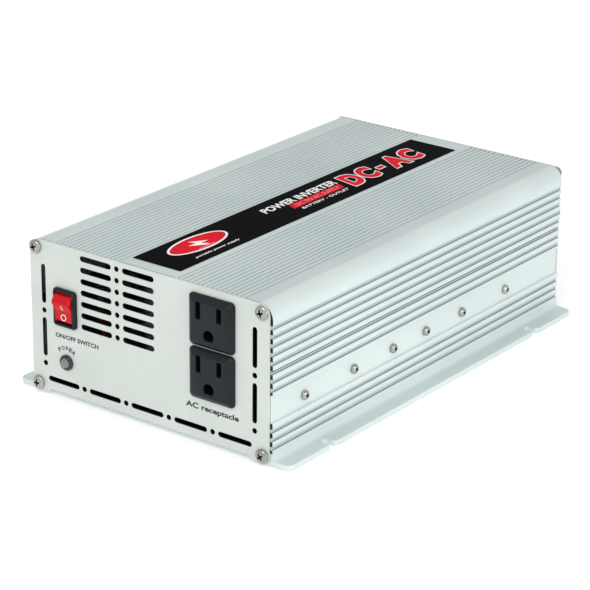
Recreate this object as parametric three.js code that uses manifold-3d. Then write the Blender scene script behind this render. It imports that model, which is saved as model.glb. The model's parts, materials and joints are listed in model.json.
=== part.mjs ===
// Power inverter: 12 V battery power in at the back, two mains sockets at the front.
// Two extruded aluminium shells, a finned base and a ribbed cover, meet at a seam on each side and are
// closed by sheet end plates. The board, transformers and clamped transistors sit inside.
//
// Millimetres, +Z up. Every piece is placed in the case's own axes: X across, Y back from the front
// plate's outer face, Z up from the feet. The whole case is then moved so that the origin is under
// the middle of its box.

import * as THREE from 'three';
import { ConvexGeometry } from 'three/addons/geometries/ConvexGeometry.js';
import { mergeVertices } from 'three/addons/utils/BufferGeometryUtils.js';
import Module from 'manifold-3d';

const wasm = await Module();
wasm.setup();

// ------------------------------------------------------------------------------ driving dimensions

const gap = 0.3;                  // between pieces that touch
const slideGap = 0.3;             // round a piece that moves or is pushed in

// Both extrusions
const caseLength = 254;
const caseHeight = 82;
const bodyHalfWidth = 76.3;       // to the fin tips
const finDepth = 1.3;
const finPitch = 4.53;
const grooveHeight = 2.1;
const wallThickness = 2.5;        // behind the grooves
const tongueThickness = 1.7;      // the base's lip behind the cover's wall
const tongueRise = 3;
const tongueRoot = 4;

// Base extrusion
const flangeReach = 10.2;         // beyond the fin tips
const flangeThickness = 2.7;
const flangeCove = 2.6;
const flangeCornerRadius = 4;
const footWidth = 8.6;            // solid corner under each wall, inside the grooves
const footChamfer = 3;
const floorThickness = 2.2;
const floorRib = { depth: 1.4, pitch: 3.3, width: 1.6, clearance: 1.6, margin: 1.5 };
const lowGrooves = { start: 7.9, count: 3 };
const clampBand = { bottom: 22, top: 36.5 };
const highGrooveStart = 37.9;
const seamGroove = 2;             // which groove above the band hides the seam
const flangeSlot = { width: 5, depth: 6.5, flare: 3, front: 34.2, rear: 37.7 };

// Cover extrusion
const roofThickness = 2.6;
const roofCornerRadius = 8;
const smoothCheek = 10.2;         // plain wall between the top groove and the roof
const roofGroove = { first: 18.5, pitch: 2.92, width: 1.45, depth: 0.85, margin: 7.5 };
const portBlock = 8.1;            // chamfered corner that holds the screw port

// Screw ports that run the length of each extrusion, from the fin tips and the case's top or feet
const portRadius = 1.7;
const coverPort = { inset: 5.2, down: 4.1 };
const basePort = { inset: 4.9, up: 4.7 };

// End plates
const plateThickness = 1;
const plateCornerRadius = 6;
const plateLobe = { inset: 0.5, radius: 3.6, foot: 0.3, edgeDrop: 0.2 };

// Vents in the end plates: rounded slots with a dot between them
const vent = { width: 2.8, dot: 1.5 };
const bottomVents = { up: 8.6, pitch: 27.3, length: 20.6, count: 5 };
const sideVents = { inset: 8.4, pitch: 28.5, length: 20.9, topSlot: 59.1, count: 2 };
const frontLouvres = { rows: 7, pitch: 6, top: 3.9, width: 3, length: 20.1, left: -32.05, right: -4.95 };

// Screws: pan heads with a cross recess
const plateScrew = { head: 3.6, rise: 2.1, shank: 1.4, length: 14, drive: 4, driveWidth: 1 };
const clampScrew = { head: 2.5, rise: 1.9, shank: 1.5, length: 12.5, drive: 2.8, driveWidth: 0.7 };
const fanScrew = { head: 3.8, rise: 2.2, shank: 2, length: 20, drive: 4, driveWidth: 1 };
const earthScrew = { head: 4.4, rise: 2.8, shank: 2.4, length: 12, drive: 4.6, driveWidth: 1.1 };
const plateHoleClearance = 0.5;   // round a screw's shank in sheet metal

// Transistor clamps: a bar inside each wall, pulled outwards by six screws
const clampRow = { front: 26.4, rear: 51.3, spread: [0, 0.228, 0.4163, 0.5803, 0.7663, 1] };
const clampHeight = 27.8;
const clampBar = { thickness: 3, height: 12, stand: 5.6, overrun: 7 };

// Front panel: sockets, switch and lamp
const socket = { x: 41.4, pitch: 27.4, middle: 51.4, width: 27.2, height: 26.4, proud: 3.3, radius: 2.2 };
const socketBevel = { width: 2.6, depth: 2.4, radius: 0.7 };
const socketBody = { width: 23.4, height: 24, depth: 24 };
const socketSlot = { spread: 12.7, up: 5.9, down: 6.1, width: 3, neutral: 8.8, live: 7.6, depth: 17.5 };
const socketEarth = { radius: 3.2, flat: 2.4 };
const switchPlace = { x: -51.9, z: 49.5 };
const switchBezel = { width: 14.6, height: 20, proud: 2, radius: 1.8 };
const switchBody = { width: 12.8, height: 18, depth: 16 };
const switchWell = { width: 11.6, height: 17.2, depth: 8.5 };
const rocker = { tilt: 15, pivotDepth: 2.7, radius: 8.3, valley: 5, back: 1.5, play: 0.45 };
const lamp = { x: -52.2, z: 20.2, rim: 4.1, rimRise: 1.4, neck: 3.6, lens: 2.7, dome: 1.5, depth: 6,
  lensDepth: 8 };

// Name label on the cover
const label = { width: 31.4, front: 7.6, rear: 10.5, thickness: 0.25, lift: 0.1 };

// Fan against the rear plate
const fan = { size: 60, depth: 15, bore: 28.5, corner: 4, hole: 25, x: -33, z: 42 };
const fanHub = { radius: 13.2, wall: 1.2, depth: 10.5, shaft: 1.6, post: 6.5 };
const fanBlade = { count: 7, tip: 27.3, chord: 11.5, thickness: 1.1, pitch: 38 };
const fanSpider = { radius: 12.5, thickness: 2, arms: 4, armWidth: 3 };
const grille = { rings: [6.5, 12.5, 18.5, 24.5], width: 3.4, sectors: 4, bridge: 3.6 };

// Battery terminals on the rear plate
const terminal = { x: [30, 60], z: 48, stud: 4, reach: 21, inside: 15 };
const bush = { rim: 10, rimRise: 3.4, neck: 7, inside: 3.3 };
const studHead = { radius: 7, thickness: 4 };
const terminalWasher = { radius: 7.2, thickness: 1.6 };
const thumbNut = { radius: 6.5, notch: 0.7, teeth: 12, length: 10.4 };
const earth = { x: 4, z: 22 };

// Board and what stands on it
const board = { height: 12, thickness: 1.6, front: 12, rear: 3.5, grip: 4.3, railLip: 1.6 };
const pieceLift = 0.4;            // of a component above the board
const core = { width: 44, height: 40, depth: 15, leg: 12, window: 9, yoke: 6 };
const winding = { overhang: 9, radius: 3 };
const coreStations = [{ x: -32, rear: 92 }, { x: 26, rear: 88 }];
const inputCapacitor = { radius: 8, height: 30, x: [14, 33, 52], rear: 33 };
const busCapacitor = { radius: 11, height: 36, x: -42, front: 56 };
const choke = { ring: 11, wire: 6, x: -4, front: 56 };
const fuses = { width: 40, depth: 12, base: 7, count: 3, fuseWidth: 9, fuseDepth: 5, fuseRise: 9, x: 33,
  rear: 54 };

// --------------------------------------------------------------------------------- derived places

const plateBack = plateThickness;
const caseFront = plateBack + gap;
const caseRear = caseFront + caseLength;
const rearPlateFront = caseRear + gap;
const rearFace = rearPlateFront + plateThickness;

const wallOuter = bodyHalfWidth - finDepth;
const wallInner = wallOuter - wallThickness;
const flangeHalfWidth = bodyHalfWidth + flangeReach;
const footInner = wallOuter - footWidth;
const floorUnder = floorRib.clearance + floorRib.depth;
const floorTop = floorUnder + floorThickness;
const roofUnder = caseHeight - roofThickness;
const seamGrooveStart = highGrooveStart + seamGroove * finPitch;
const seam = seamGrooveStart + grooveHeight / 2;
const tongueOuter = wallInner - gap;
const tongueInner = tongueOuter - tongueThickness;
const boardSlotTop = board.height + board.thickness + 2 * gap;
const boardTop = board.height + gap + board.thickness;
const boardRear = caseRear - fan.depth - board.rear;
const componentBase = boardTop + pieceLift;
const portPlaces = [
  { x: bodyHalfWidth - coverPort.inset, z: caseHeight - coverPort.down },
  { x: bodyHalfWidth - basePort.inset, z: basePort.up },
];
const plateHalfWidth = wallOuter;
const clampBarOuter = wallInner - clampBar.stand;
const clampSpan = caseLength - clampRow.front - clampRow.rear;
const clampStations = clampRow.spread.map((share) => clampRow.front + share * clampSpan);
const socketFront = -gap - socket.proud;
const switchFront = -gap - switchBezel.proud;
const terminalEnd = rearFace + terminal.reach;

// ---------------------------------------------------------------------------------- finishes

const finish = (color, roughness, metalness = 0) => ({ color, roughness, metalness });
const finishes = {
  anodised: finish(0xc9d2d1, 0.42, 0.9),
  plate: finish(0xd8ddd8, 0.5, 0.6),
  nickel: finish(0xd9d9d4, 0.2, 1),
  slate: finish(0x2e3538, 0.45),
  rocker: finish(0xd4101c, 0.3),
  lens: finish(0xc9d6d2, 0.1),
  label: finish(0x111113, 0.35),
  black: finish(0x18191b, 0.55),
  red: finish(0xb3141b, 0.4),
  brass: finish(0xc9a85a, 0.3, 1),
  fibreglass: finish(0x1f5a36, 0.5),
  ferrite: finish(0x2a2a2c, 0.7),
  tape: finish(0xc9a227, 0.5),
  sleeve: finish(0x22314f, 0.4),
  fuse: finish(0x2f6fb5, 0.3),
};

// ------------------------------------------------------------------------------ geometry helpers

const radians = THREE.MathUtils.degToRad;

/** A closed mesh as a solid for joining and cutting. Slivers are dropped and the faces turned out. */
function solidFrom(geometry) {
  const bare = geometry.clone();
  bare.deleteAttribute('normal');
  bare.deleteAttribute('uv');
  const merged = mergeVertices(bare, 1e-4);
  const index = merged.index.array;
  const corners = [];
  for (let i = 0; i < index.length; i += 3) {
    const [a, b, c] = [index[i], index[i + 1], index[i + 2]];
    if (a !== b && b !== c && c !== a) corners.push(a, b, c);
  }
  const vertProperties = new Float32Array(merged.attributes.position.array);
  const build = (list) => new wasm.Manifold(new wasm.Mesh({
    numProp: 3, vertProperties, triVerts: new Uint32Array(list),
  }));
  const solid = build(corners);
  if (solid.volume() > 0) return solid;
  return build(corners.reverse());
}

function geometryFrom(solid) {
  const mesh = solid.getMesh();
  const geometry = new THREE.BufferGeometry();
  geometry.setAttribute('position', new THREE.BufferAttribute(new Float32Array(mesh.vertProperties), 3));
  geometry.setIndex(new THREE.BufferAttribute(new Uint32Array(mesh.triVerts), 1));
  geometry.computeVertexNormals();
  return geometry;
}

const joined = (first, ...others) => others.reduce((sum, next) => sum.add(next), first);
const cut = (first, ...others) => others.reduce((rest, next) => rest.subtract(next), first);

const arc = (x, y, radius, from, to, steps) => Array.from({ length: steps + 1 }, (_, i) => {
  const angle = radians(from + (to - from) * i / steps);
  return [x + radius * Math.cos(angle), y + radius * Math.sin(angle)];
});

const toVectors = (points) => points.map(([x, y]) => new THREE.Vector2(x, y));
const shapeOf = (points) => new THREE.Shape(toVectors(points));

/** A closed outline from its right half, listed from the bottom middle to the top middle. */
const mirrored = (rightHalf) => shapeOf([
  ...rightHalf,
  ...rightHalf.map(([x, y]) => [-x, y]).reverse(),
]);

const rectangle = (x, y, width, height) => [
  [x - width / 2, y - height / 2],
  [x + width / 2, y - height / 2],
  [x + width / 2, y + height / 2],
  [x - width / 2, y + height / 2],
];

const roundedRectangle = (x, y, width, height, radius, steps = 3) => [
  ...arc(x + width / 2 - radius, y - height / 2 + radius, radius, -90, 0, steps),
  ...arc(x + width / 2 - radius, y + height / 2 - radius, radius, 0, 90, steps),
  ...arc(x - width / 2 + radius, y + height / 2 - radius, radius, 90, 180, steps),
  ...arc(x - width / 2 + radius, y - height / 2 + radius, radius, 180, 270, steps),
];

const circle = (x, y, radius, sides = 12) => arc(x, y, radius, 0, 360 * (sides - 1) / sides, sides - 1);

/** A slot with round ends, lying along X or, when upright, along Z. */
function slot(x, z, length, width, upright = false) {
  const reach = (length - width) / 2;
  const radius = width / 2;
  if (upright) return [...arc(x, z + reach, radius, 0, 180, 4), ...arc(x, z - reach, radius, 180, 360, 4)];
  return [...arc(x + reach, z, radius, -90, 90, 4), ...arc(x - reach, z, radius, 90, 270, 4)];
}

/** Shape in X and Z, extruded back from y. */
function prismAlongY(shape, y, depth) {
  const geometry = new THREE.ExtrudeGeometry(shape, { depth, bevelEnabled: false });
  geometry.rotateX(Math.PI / 2);
  geometry.translate(0, y + depth, 0);
  return geometry;
}

/** Shape in X and Y, extruded up from z. */
function prismAlongZ(shape, z, depth) {
  const geometry = new THREE.ExtrudeGeometry(shape, { depth, bevelEnabled: false });
  geometry.translate(0, 0, z);
  return geometry;
}

/** Shape in Y and Z, extruded to the right from x. */
function prismAlongX(shape, x, depth) {
  const geometry = new THREE.ExtrudeGeometry(shape, { depth, bevelEnabled: false });
  geometry.applyMatrix4(new THREE.Matrix4().makeBasis(
    new THREE.Vector3(0, 1, 0), new THREE.Vector3(0, 0, 1), new THREE.Vector3(1, 0, 0)));
  geometry.translate(x, 0, 0);
  return geometry;
}

function box(x, y, z) {
  const geometry = new THREE.BoxGeometry(x[1] - x[0], y[1] - y[0], z[1] - z[0]);
  geometry.translate((x[0] + x[1]) / 2, (y[0] + y[1]) / 2, (z[0] + z[1]) / 2);
  return geometry;
}

/** Outline in X and Z extruded back from y, with outlines of holes cut right through it. */
function piercedPlate(outline, holes, y, depth) {
  const drills = holes.map((points) => solidFrom(prismAlongY(shapeOf(points), y - 1, depth + 2)));
  return cut(solidFrom(prismAlongY(outline, y, depth)), ...drills);
}

/** Turned round the Y axis, from [radius, y] points that start and end on the axis or close. */
const turned = (points, sides) => new THREE.LatheGeometry(toVectors(points), sides);

// -------------------------------------------------------------------------------- scene building

const caseGroup = new THREE.Group();

function place(name, solid, look, position = [0, 0, 0], turn = 0) {
  const mesh = new THREE.Mesh(geometryFrom(solid), new THREE.MeshStandardMaterial(look));
  mesh.name = name;
  mesh.position.set(...position);
  mesh.rotation.z = turn;
  caseGroup.add(mesh);
}

// ------------------------------------------------------------------------------------ extrusions

/** Side wall points going up through grooves: each groove steps in from the fin tips. */
const grooveSteps = (grooves) => grooves.flatMap(([low, high]) => [
  [bodyHalfWidth, low], [wallOuter, low], [wallOuter, high], [bodyHalfWidth, high],
]);

const grooveAt = (start, index) => [start + index * finPitch, start + index * finPitch + grooveHeight];

function floorRibSteps() {
  const { pitch, width, clearance, margin } = floorRib;
  const limit = footInner - footChamfer - margin;
  const count = Math.floor((limit - width / 2) / pitch + 0.5);
  return Array.from({ length: count }, (_, i) => (i + 0.5) * pitch).flatMap((x) => [
    [x - width / 2, floorUnder], [x - width / 2, clearance],
    [x + width / 2, clearance], [x + width / 2, floorUnder],
  ]);
}

function baseOutline() {
  const lowList = Array.from({ length: lowGrooves.count }, (_, i) => grooveAt(lowGrooves.start, i));
  const highList = Array.from({ length: seamGroove }, (_, i) => grooveAt(highGrooveStart, i));
  const railTop = boardSlotTop + board.railLip;
  return mirrored([
    ...floorRibSteps(),
    [footInner - footChamfer, floorUnder],
    [footInner, 0],
    [flangeHalfWidth, 0],
    [flangeHalfWidth, flangeThickness],
    ...arc(bodyHalfWidth + flangeCove, flangeThickness + flangeCove, flangeCove, 270, 180, 4),
    ...grooveSteps([...lowList, [clampBand.bottom, clampBand.top], ...highList]),
    [bodyHalfWidth, seamGrooveStart],
    [wallOuter, seamGrooveStart],
    [wallOuter, seam - gap / 2],
    [tongueOuter, seam - gap / 2],
    [tongueOuter, seam + tongueRise],
    [tongueInner, seam + tongueRise],
    [tongueInner, seam - tongueRoot],
    [wallInner, seam - tongueRoot - (wallInner - tongueInner)],
    [wallInner, railTop],
    [footInner, railTop],
    [footInner, boardSlotTop],
    [footInner + board.grip, boardSlotTop],
    [footInner + board.grip, board.height],
    [footInner, board.height],
    [footInner, floorTop],
  ]);
}

/** The base seen from above: rounded flange corners and an open slot near each end. */
function basePlan() {
  const edge = flangeHalfWidth;
  const { width, depth, flare } = flangeSlot;
  const corner = flangeCornerRadius;
  const notch = (y) => [
    [edge, y - width / 2],
    ...arc(edge - depth + width / 2, y, width / 2, 270, 90, 8),
    ...arc(edge - flare, y + width / 2 + flare, flare, -90, 0, 4),
  ];
  return mirrored([
    ...arc(edge - corner, caseFront + corner, corner, -90, 0, 4),
    ...notch(caseFront + flangeSlot.front),
    ...notch(caseRear - flangeSlot.rear),
    ...arc(edge - corner, caseRear - corner, corner, 0, 90, 4),
  ]);
}

/** An extruded length of a case profile, with its two screw ports. */
function extrusion(outline, port) {
  const ports = [port.x, -port.x].map((x) => circle(x, port.z, portRadius, 10));
  return piercedPlate(outline, ports, caseFront, caseLength);
}

function addBase() {
  const profile = extrusion(baseOutline(), portPlaces[1]);
  const plan = solidFrom(prismAlongZ(basePlan(), -1, caseHeight));
  const clampHole = circle(0, clampHeight, clampScrew.shank + slideGap, 10);
  const drills = clampStations.map((y) => {
    const geometry = prismAlongX(shapeOf(clampHole), -bodyHalfWidth - 1, 2 * bodyHalfWidth + 2);
    geometry.translate(0, caseFront + y, 0);
    return solidFrom(geometry);
  });
  place('base_extrusion', cut(profile.intersect(plan), ...drills), finishes.anodised);
}

function coverOutline() {
  const grooves = [];
  let groove = grooveAt(highGrooveStart, seamGroove + 1);
  while (groove[1] <= caseHeight - smoothCheek) {
    grooves.push(groove);
    groove = grooveAt(groove[0], 1);
  }
  const { first, pitch, width, depth, margin } = roofGroove;
  const roofGrooveLimit = bodyHalfWidth - roofCornerRadius - margin - width / 2;
  const count = Math.floor((roofGrooveLimit - first) / pitch) + 1;
  const roofSteps = Array.from({ length: count }, (_, i) => {
    const x = first + (count - 1 - i) * pitch;
    const outer = x + width / 2;
    const inner = x - width / 2;
    const low = caseHeight - depth;
    return [[outer, caseHeight], [outer, low], [inner, low], [inner, caseHeight]];
  }).flat();
  return mirrored([
    [wallInner - portBlock, roofUnder],
    [wallInner, roofUnder - portBlock],
    [wallInner, seam + gap / 2],
    [wallOuter, seam + gap / 2],
    [wallOuter, seamGrooveStart + grooveHeight],
    [bodyHalfWidth, seamGrooveStart + grooveHeight],
    ...grooveSteps(grooves),
    ...arc(bodyHalfWidth - roofCornerRadius, caseHeight - roofCornerRadius, roofCornerRadius, 0, 90, 8),
    ...roofSteps,
  ]);
}

function addCover() {
  place('top_cover', extrusion(coverOutline(), portPlaces[0]), finishes.anodised);
  const { width, front, rear, thickness, lift } = label;
  const from = caseHeight + lift;
  const solid = solidFrom(box([-width / 2, width / 2], [caseFront + front, caseRear - rear],
    [from, from + thickness]));
  place('name_label', solid, finishes.label);
}

// ------------------------------------------------------------------------------------ end plates

function plateOutline() {
  const { inset, radius, foot, edgeDrop } = plateLobe;
  const corner = plateCornerRadius;
  return mirrored([
    [footInner - footChamfer - inset, floorUnder - edgeDrop],
    [footInner - inset, foot],
    ...arc(plateHalfWidth - radius, foot + radius, radius, -90, 0, 4),
    ...arc(plateHalfWidth - corner, caseHeight - corner, corner, 0, 90, 6),
  ]);
}

/** A row of slots and dots along the foot of a plate. */
function bottomVentHoles() {
  const { count, pitch, up, length } = bottomVents;
  const placeOf = (i) => (i - (count - 1) / 2) * pitch;
  const slots = Array.from({ length: count }, (_, i) => slot(placeOf(i), up, length, vent.width));
  const dots = Array.from({ length: count - 1 }, (_, i) => circle(placeOf(i + 0.5), up, vent.dot, 8));
  return [...slots, ...dots];
}

/** A column of slots and dots up each side of the front plate. */
function sideVentHoles() {
  const { inset, pitch, length, topSlot, count } = sideVents;
  return [-1, 1].map((side) => side * (plateHalfWidth - inset)).flatMap((x) => (
    Array.from({ length: count }, (_, i) => topSlot - i * pitch).flatMap((z) => [
      slot(x, z, length, vent.width, true),
      circle(x, z - pitch / 2, vent.dot, 8),
    ])));
}

const plateScrewHoles = () => portPlaces.flatMap(({ x, z }) => (
  [x, -x].map((side) => circle(side, z, plateScrew.shank + plateHoleClearance, 10))));

/** Seven rows of slot, dot, slot in the front plate. */
function louvreHoles() {
  const { rows, pitch, top, width, length, left, right } = frontLouvres;
  return Array.from({ length: rows }, (_, i) => caseHeight - top - i * pitch).flatMap((z) => [
    slot(left, z, length, width),
    circle((left + right) / 2, z, width / 2, 8),
    slot(right, z, length, width),
  ]);
}

/** Rings of curved slots in the rear plate, in front of the fan. */
function grilleHoles() {
  const { rings, width, sectors, bridge } = grille;
  const span = 360 / sectors;
  return rings.flatMap((radius) => {
    const margin = THREE.MathUtils.radToDeg(bridge / 2 / radius);
    return Array.from({ length: sectors }, (_, i) => [
      ...arc(fan.x, fan.z, radius + width / 2, i * span + margin, (i + 1) * span - margin, 6),
      ...arc(fan.x, fan.z, radius - width / 2, (i + 1) * span - margin, i * span + margin, 6),
    ]);
  });
}

const socketPlaces = [1, -1].map((side) => socket.middle + side * socket.pitch / 2);

function addPlates() {
  const opening = (x, z, piece) => rectangle(x, z, piece.width + 2 * slideGap, piece.height + 2 * slideGap);
  const frontHoles = [
    ...plateScrewHoles(),
    ...bottomVentHoles(),
    ...sideVentHoles(),
    ...louvreHoles(),
    ...socketPlaces.map((z) => opening(socket.x, z, socketBody)),
    opening(switchPlace.x, switchPlace.z, switchBody),
    circle(lamp.x, lamp.z, lamp.neck + slideGap, 16),
  ];
  place('front_plate', piercedPlate(plateOutline(), frontHoles, 0, plateThickness), finishes.plate);

  const fanScrewHole = fanScrew.shank + plateHoleClearance;
  const rearHoles = [
    ...plateScrewHoles(),
    ...bottomVentHoles(),
    ...grilleHoles(),
    ...fanCorners.map(([x, z]) => circle(x, z, fanScrewHole, 10)),
    ...terminal.x.map((x) => circle(x, terminal.z, bush.neck + slideGap, 16)),
    circle(earth.x, earth.z, earthScrew.shank + plateHoleClearance, 10),
  ];
  const rear = piercedPlate(plateOutline(), rearHoles, rearPlateFront, plateThickness);
  place('rear_plate', rear, finishes.plate);
}

const fanCorners = [[1, 1], [-1, 1], [-1, -1], [1, -1]].map(([x, z]) => [
  fan.x + x * fan.hole, fan.z + z * fan.hole,
]);

// ---------------------------------------------------------------------------------------- screws

/** A pan head screw with its head towards +Y and the underside of the head at y = 0. */
function screwSolid({ head, rise, shank, length, drive, driveWidth }) {
  const body = solidFrom(turned([
    [0, -length], [shank, -length], [shank, 0], [head, 0],
    [head, rise * 0.4], [head * 0.72, rise], [0, rise],
  ], 8));
  const recessFloor = rise * 0.45;
  const bar = (x, z) => solidFrom(box([-x / 2, x / 2], [recessFloor, rise + 1], [-z / 2, z / 2]));
  return cut(body, bar(drive, driveWidth), bar(driveWidth, drive));
}

function addScrews() {
  const plateScrewSolid = screwSolid(plateScrew);
  const corners = portPlaces.flatMap(({ x, z }) => [[-x, z], [x, z]]);
  corners.forEach(([x, z], i) => {
    place(`front_plate_screw_${i + 1}`, plateScrewSolid, finishes.nickel, [x, -gap, z], Math.PI);
    place(`rear_plate_screw_${i + 1}`, plateScrewSolid, finishes.nickel, [x, rearFace + gap, z]);
  });
  const clampScrewSolid = screwSolid(clampScrew);
  clampStations.forEach((station, i) => {
    for (const [name, side] of [['right', 1], ['left', -1]]) {
      const position = [side * (wallOuter + gap), caseFront + station, clampHeight];
      const turn = -side * Math.PI / 2;
      place(`${name}_clamp_screw_${i + 1}`, clampScrewSolid, finishes.nickel, position, turn);
    }
  });
}

function addClampBars() {
  const { thickness, height, overrun } = clampBar;
  const from = caseFront + clampStations[0] - overrun;
  const to = caseFront + clampStations.at(-1) + overrun;
  for (const [name, side] of [['right_clamp_bar', 1], ['left_clamp_bar', -1]]) {
    const inner = side * (clampBarOuter - thickness);
    const outer = side * clampBarOuter;
    const blank = box([Math.min(inner, outer), Math.max(inner, outer)], [from, to],
      [clampHeight - height / 2, clampHeight + height / 2]);
    const drills = clampStations.map((station) => {
      const hole = shapeOf(circle(0, 0, clampScrew.shank + slideGap, 10));
      const geometry = prismAlongX(hole, -1, thickness + 2);
      geometry.translate(Math.min(inner, outer), caseFront + station, clampHeight);
      return solidFrom(geometry);
    });
    place(name, cut(solidFrom(blank), ...drills), finishes.anodised);
  }
}

// ----------------------------------------------------------------------------- sockets and switch

/** The outer part of a moulding with a bevelled rim: its face at y = 0 and its foot at y = proud. */
function bevelledFace(width, height, radius, proud, bevel) {
  const inner = roundedRectangle(0, 0, width - 2 * bevel.width, height - 2 * bevel.width, bevel.radius);
  const outer = roundedRectangle(0, 0, width, height, radius);
  const ring = (points, y) => points.map(([x, z]) => new THREE.Vector3(x, y, z));
  return new ConvexGeometry([...ring(inner, 0), ...ring(outer, bevel.depth), ...ring(outer, proud)]);
}

/** A snap-in three-pin socket, centred on x = z = 0, with its mounting face at y = -gap. */
function socketSolid() {
  const { width, height, radius, proud } = socket;
  const face = bevelledFace(width, height, radius, proud, socketBevel);
  face.translate(0, socketFront, 0);
  const body = box([-socketBody.width / 2, socketBody.width / 2], [-gap - 0.5, socketBody.depth],
    [-socketBody.height / 2, socketBody.height / 2]);
  const barb = 0.9;
  const barbStart = plateBack + gap;
  const barbs = [1, -1].map((side) => prismAlongZ(shapeOf([
    [side * (socketBody.width / 2 - 1), barbStart],
    [side * (socketBody.width / 2 + barb), barbStart],
    [side * socketBody.width / 2, barbStart + 5],
    [side * (socketBody.width / 2 - 1), barbStart + 5],
  ]), -4, 8));
  const pocket = (points) => solidFrom(prismAlongY(shapeOf(points), socketFront - 1, socketSlot.depth + 1));
  const blade = (side, height) => pocket(rectangle(
    side * socketSlot.spread / 2, socketSlot.up, socketSlot.width, height));
  const flatAngle = Math.asin(socketEarth.flat / socketEarth.radius) * 180 / Math.PI;
  const earthPocket = pocket(arc(0, -socketSlot.down, socketEarth.radius, -flatAngle, 180 + flatAngle, 12));
  const blank = joined(...[face, body, ...barbs].map(solidFrom));
  return cut(blank, blade(-1, socketSlot.neutral), blade(1, socketSlot.live), earthPocket);
}

function addSockets() {
  const solid = socketSolid();
  place('upper_socket', solid, finishes.slate, [socket.x, 0, socketPlaces[0]]);
  place('lower_socket', solid, finishes.slate, [socket.x, 0, socketPlaces[1]]);
}

function addSwitch() {
  const { x, z } = switchPlace;
  const { width: bezelWidth, height: bezelHeight, radius: bezelRadius, proud } = switchBezel;
  const bezelShape = shapeOf(roundedRectangle(0, 0, bezelWidth, bezelHeight, bezelRadius));
  const bezel = prismAlongY(bezelShape, switchFront, proud);
  const body = prismAlongY(shapeOf(rectangle(0, 0, switchBody.width, switchBody.height)),
    switchFront + 1, switchBody.depth - switchFront - 1);
  const well = prismAlongY(shapeOf(rectangle(0, 0, switchWell.width, switchWell.height)),
    switchFront - 1, switchWell.depth - switchFront + 1);
  place('switch_housing', cut(joined(solidFrom(bezel), solidFrom(body)), solidFrom(well)),
    finishes.slate, [x, 0, z]);

  // The rocker's two faces meet in a shallow valley. Its ends are arcs round the pivot, so the gap
  // to the well stays the same as it tips. It rests with the upper end out.
  const { tilt, pivotDepth, radius, valley, back, play } = rocker;
  const slope = Math.tan(radians(tilt));
  const spread = 1 + slope ** 2;
  const edgeZ = (-valley * slope + Math.sqrt(radius ** 2 * spread - valley ** 2)) / spread;
  const edgeAngle = Math.atan2(edgeZ, -(valley + edgeZ * slope)) * 180 / Math.PI;
  const backAngle = Math.asin(back / radius) * 180 / Math.PI;
  const profile = [
    [-valley, 0],
    ...arc(0, 0, radius, edgeAngle, 90 - backAngle, 5),
    ...arc(0, 0, radius, backAngle - 90, -edgeAngle, 5),
  ];
  const width = switchWell.width - 2 * play;
  const geometry = prismAlongX(shapeOf(profile), -width / 2, width);
  geometry.rotateX(radians(tilt));
  geometry.translate(0, pivotDepth, 0);
  place('switch_rocker', solidFrom(geometry), finishes.rocker, [x, 0, z]);
}

function addLamp() {
  const { rim, rimRise, neck, lens, dome: domeRise, depth, lensDepth } = lamp;
  const bore = lens + slideGap;
  const bezel = turned([
    [bore, -gap - rimRise], [rim - 0.7, -gap - rimRise], [rim, -gap - rimRise + 0.6], [rim, -gap],
    [neck, -gap], [neck, depth], [bore, depth], [bore, -gap - rimRise],
  ], 20);
  const front = -gap - rimRise;
  const dome = turned([
    [0, front - domeRise], [lens * 0.5, front - domeRise * 0.83], [lens * 0.85, front - domeRise * 0.4],
    [lens, front + 0.2], [lens, lensDepth], [0, lensDepth],
  ], 16);
  place('lamp_bezel', solidFrom(bezel), finishes.nickel, [lamp.x, 0, lamp.z]);
  place('lamp_lens', solidFrom(dome), finishes.lens, [lamp.x, 0, lamp.z]);
}

// ------------------------------------------------------------------------------------------- fan

function fanFrameSolid() {
  const front = caseRear - fan.depth;
  const rim = shapeOf(roundedRectangle(0, 0, fan.size, fan.size, fan.corner));
  const corners = [[1, 1], [-1, 1], [-1, -1], [1, -1]];
  const holes = [
    circle(0, 0, fan.bore, 36),
    ...corners.map(([x, z]) => circle(x * fan.hole, z * fan.hole, fanScrew.shank + slideGap, 10)),
  ];
  const bearing = fanHub.shaft + slideGap;
  const seat = turned([
    [bearing, 0], [fanSpider.radius, 0], [fanSpider.radius, fanSpider.thickness],
    [fanHub.post, fanSpider.thickness], [fanHub.post, fanHub.depth - 1], [bearing, fanHub.depth - 1],
    [bearing, 0],
  ], 20);
  seat.translate(0, front, 0);
  const arms = Array.from({ length: fanSpider.arms }, (_, i) => {
    const arm = box([fanSpider.radius - 2, fan.bore + 0.5], [front, front + fanSpider.thickness],
      [-fanSpider.armWidth / 2, fanSpider.armWidth / 2]);
    arm.rotateY(radians(360 * (i + 0.5) / fanSpider.arms));
    return solidFrom(arm);
  });
  return joined(piercedPlate(rim, holes, front, fan.depth), solidFrom(seat), ...arms);
}

function fanRotorSolid() {
  const start = caseRear - fan.depth + fanSpider.thickness + 0.8;
  const end = start + fanHub.depth;
  const inner = fanHub.radius - fanHub.wall;
  const hub = turned([
    [0, start], [fanHub.shaft, start], [fanHub.shaft, end - 1.5], [inner, end - 1.5], [inner, start],
    [fanHub.radius, start], [fanHub.radius, end], [0, end],
  ], 24);
  const blades = Array.from({ length: fanBlade.count }, (_, i) => {
    const root = fanHub.radius - fanHub.wall / 2;
    const blade = new THREE.BoxGeometry(fanBlade.tip - root, fanBlade.thickness, fanBlade.chord);
    blade.rotateX(radians(fanBlade.pitch));
    blade.translate((fanBlade.tip + root) / 2, (start + end) / 2, 0);
    blade.rotateY(radians(360 * i / fanBlade.count));
    return solidFrom(blade);
  });
  return joined(solidFrom(hub), ...blades);
}

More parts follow.
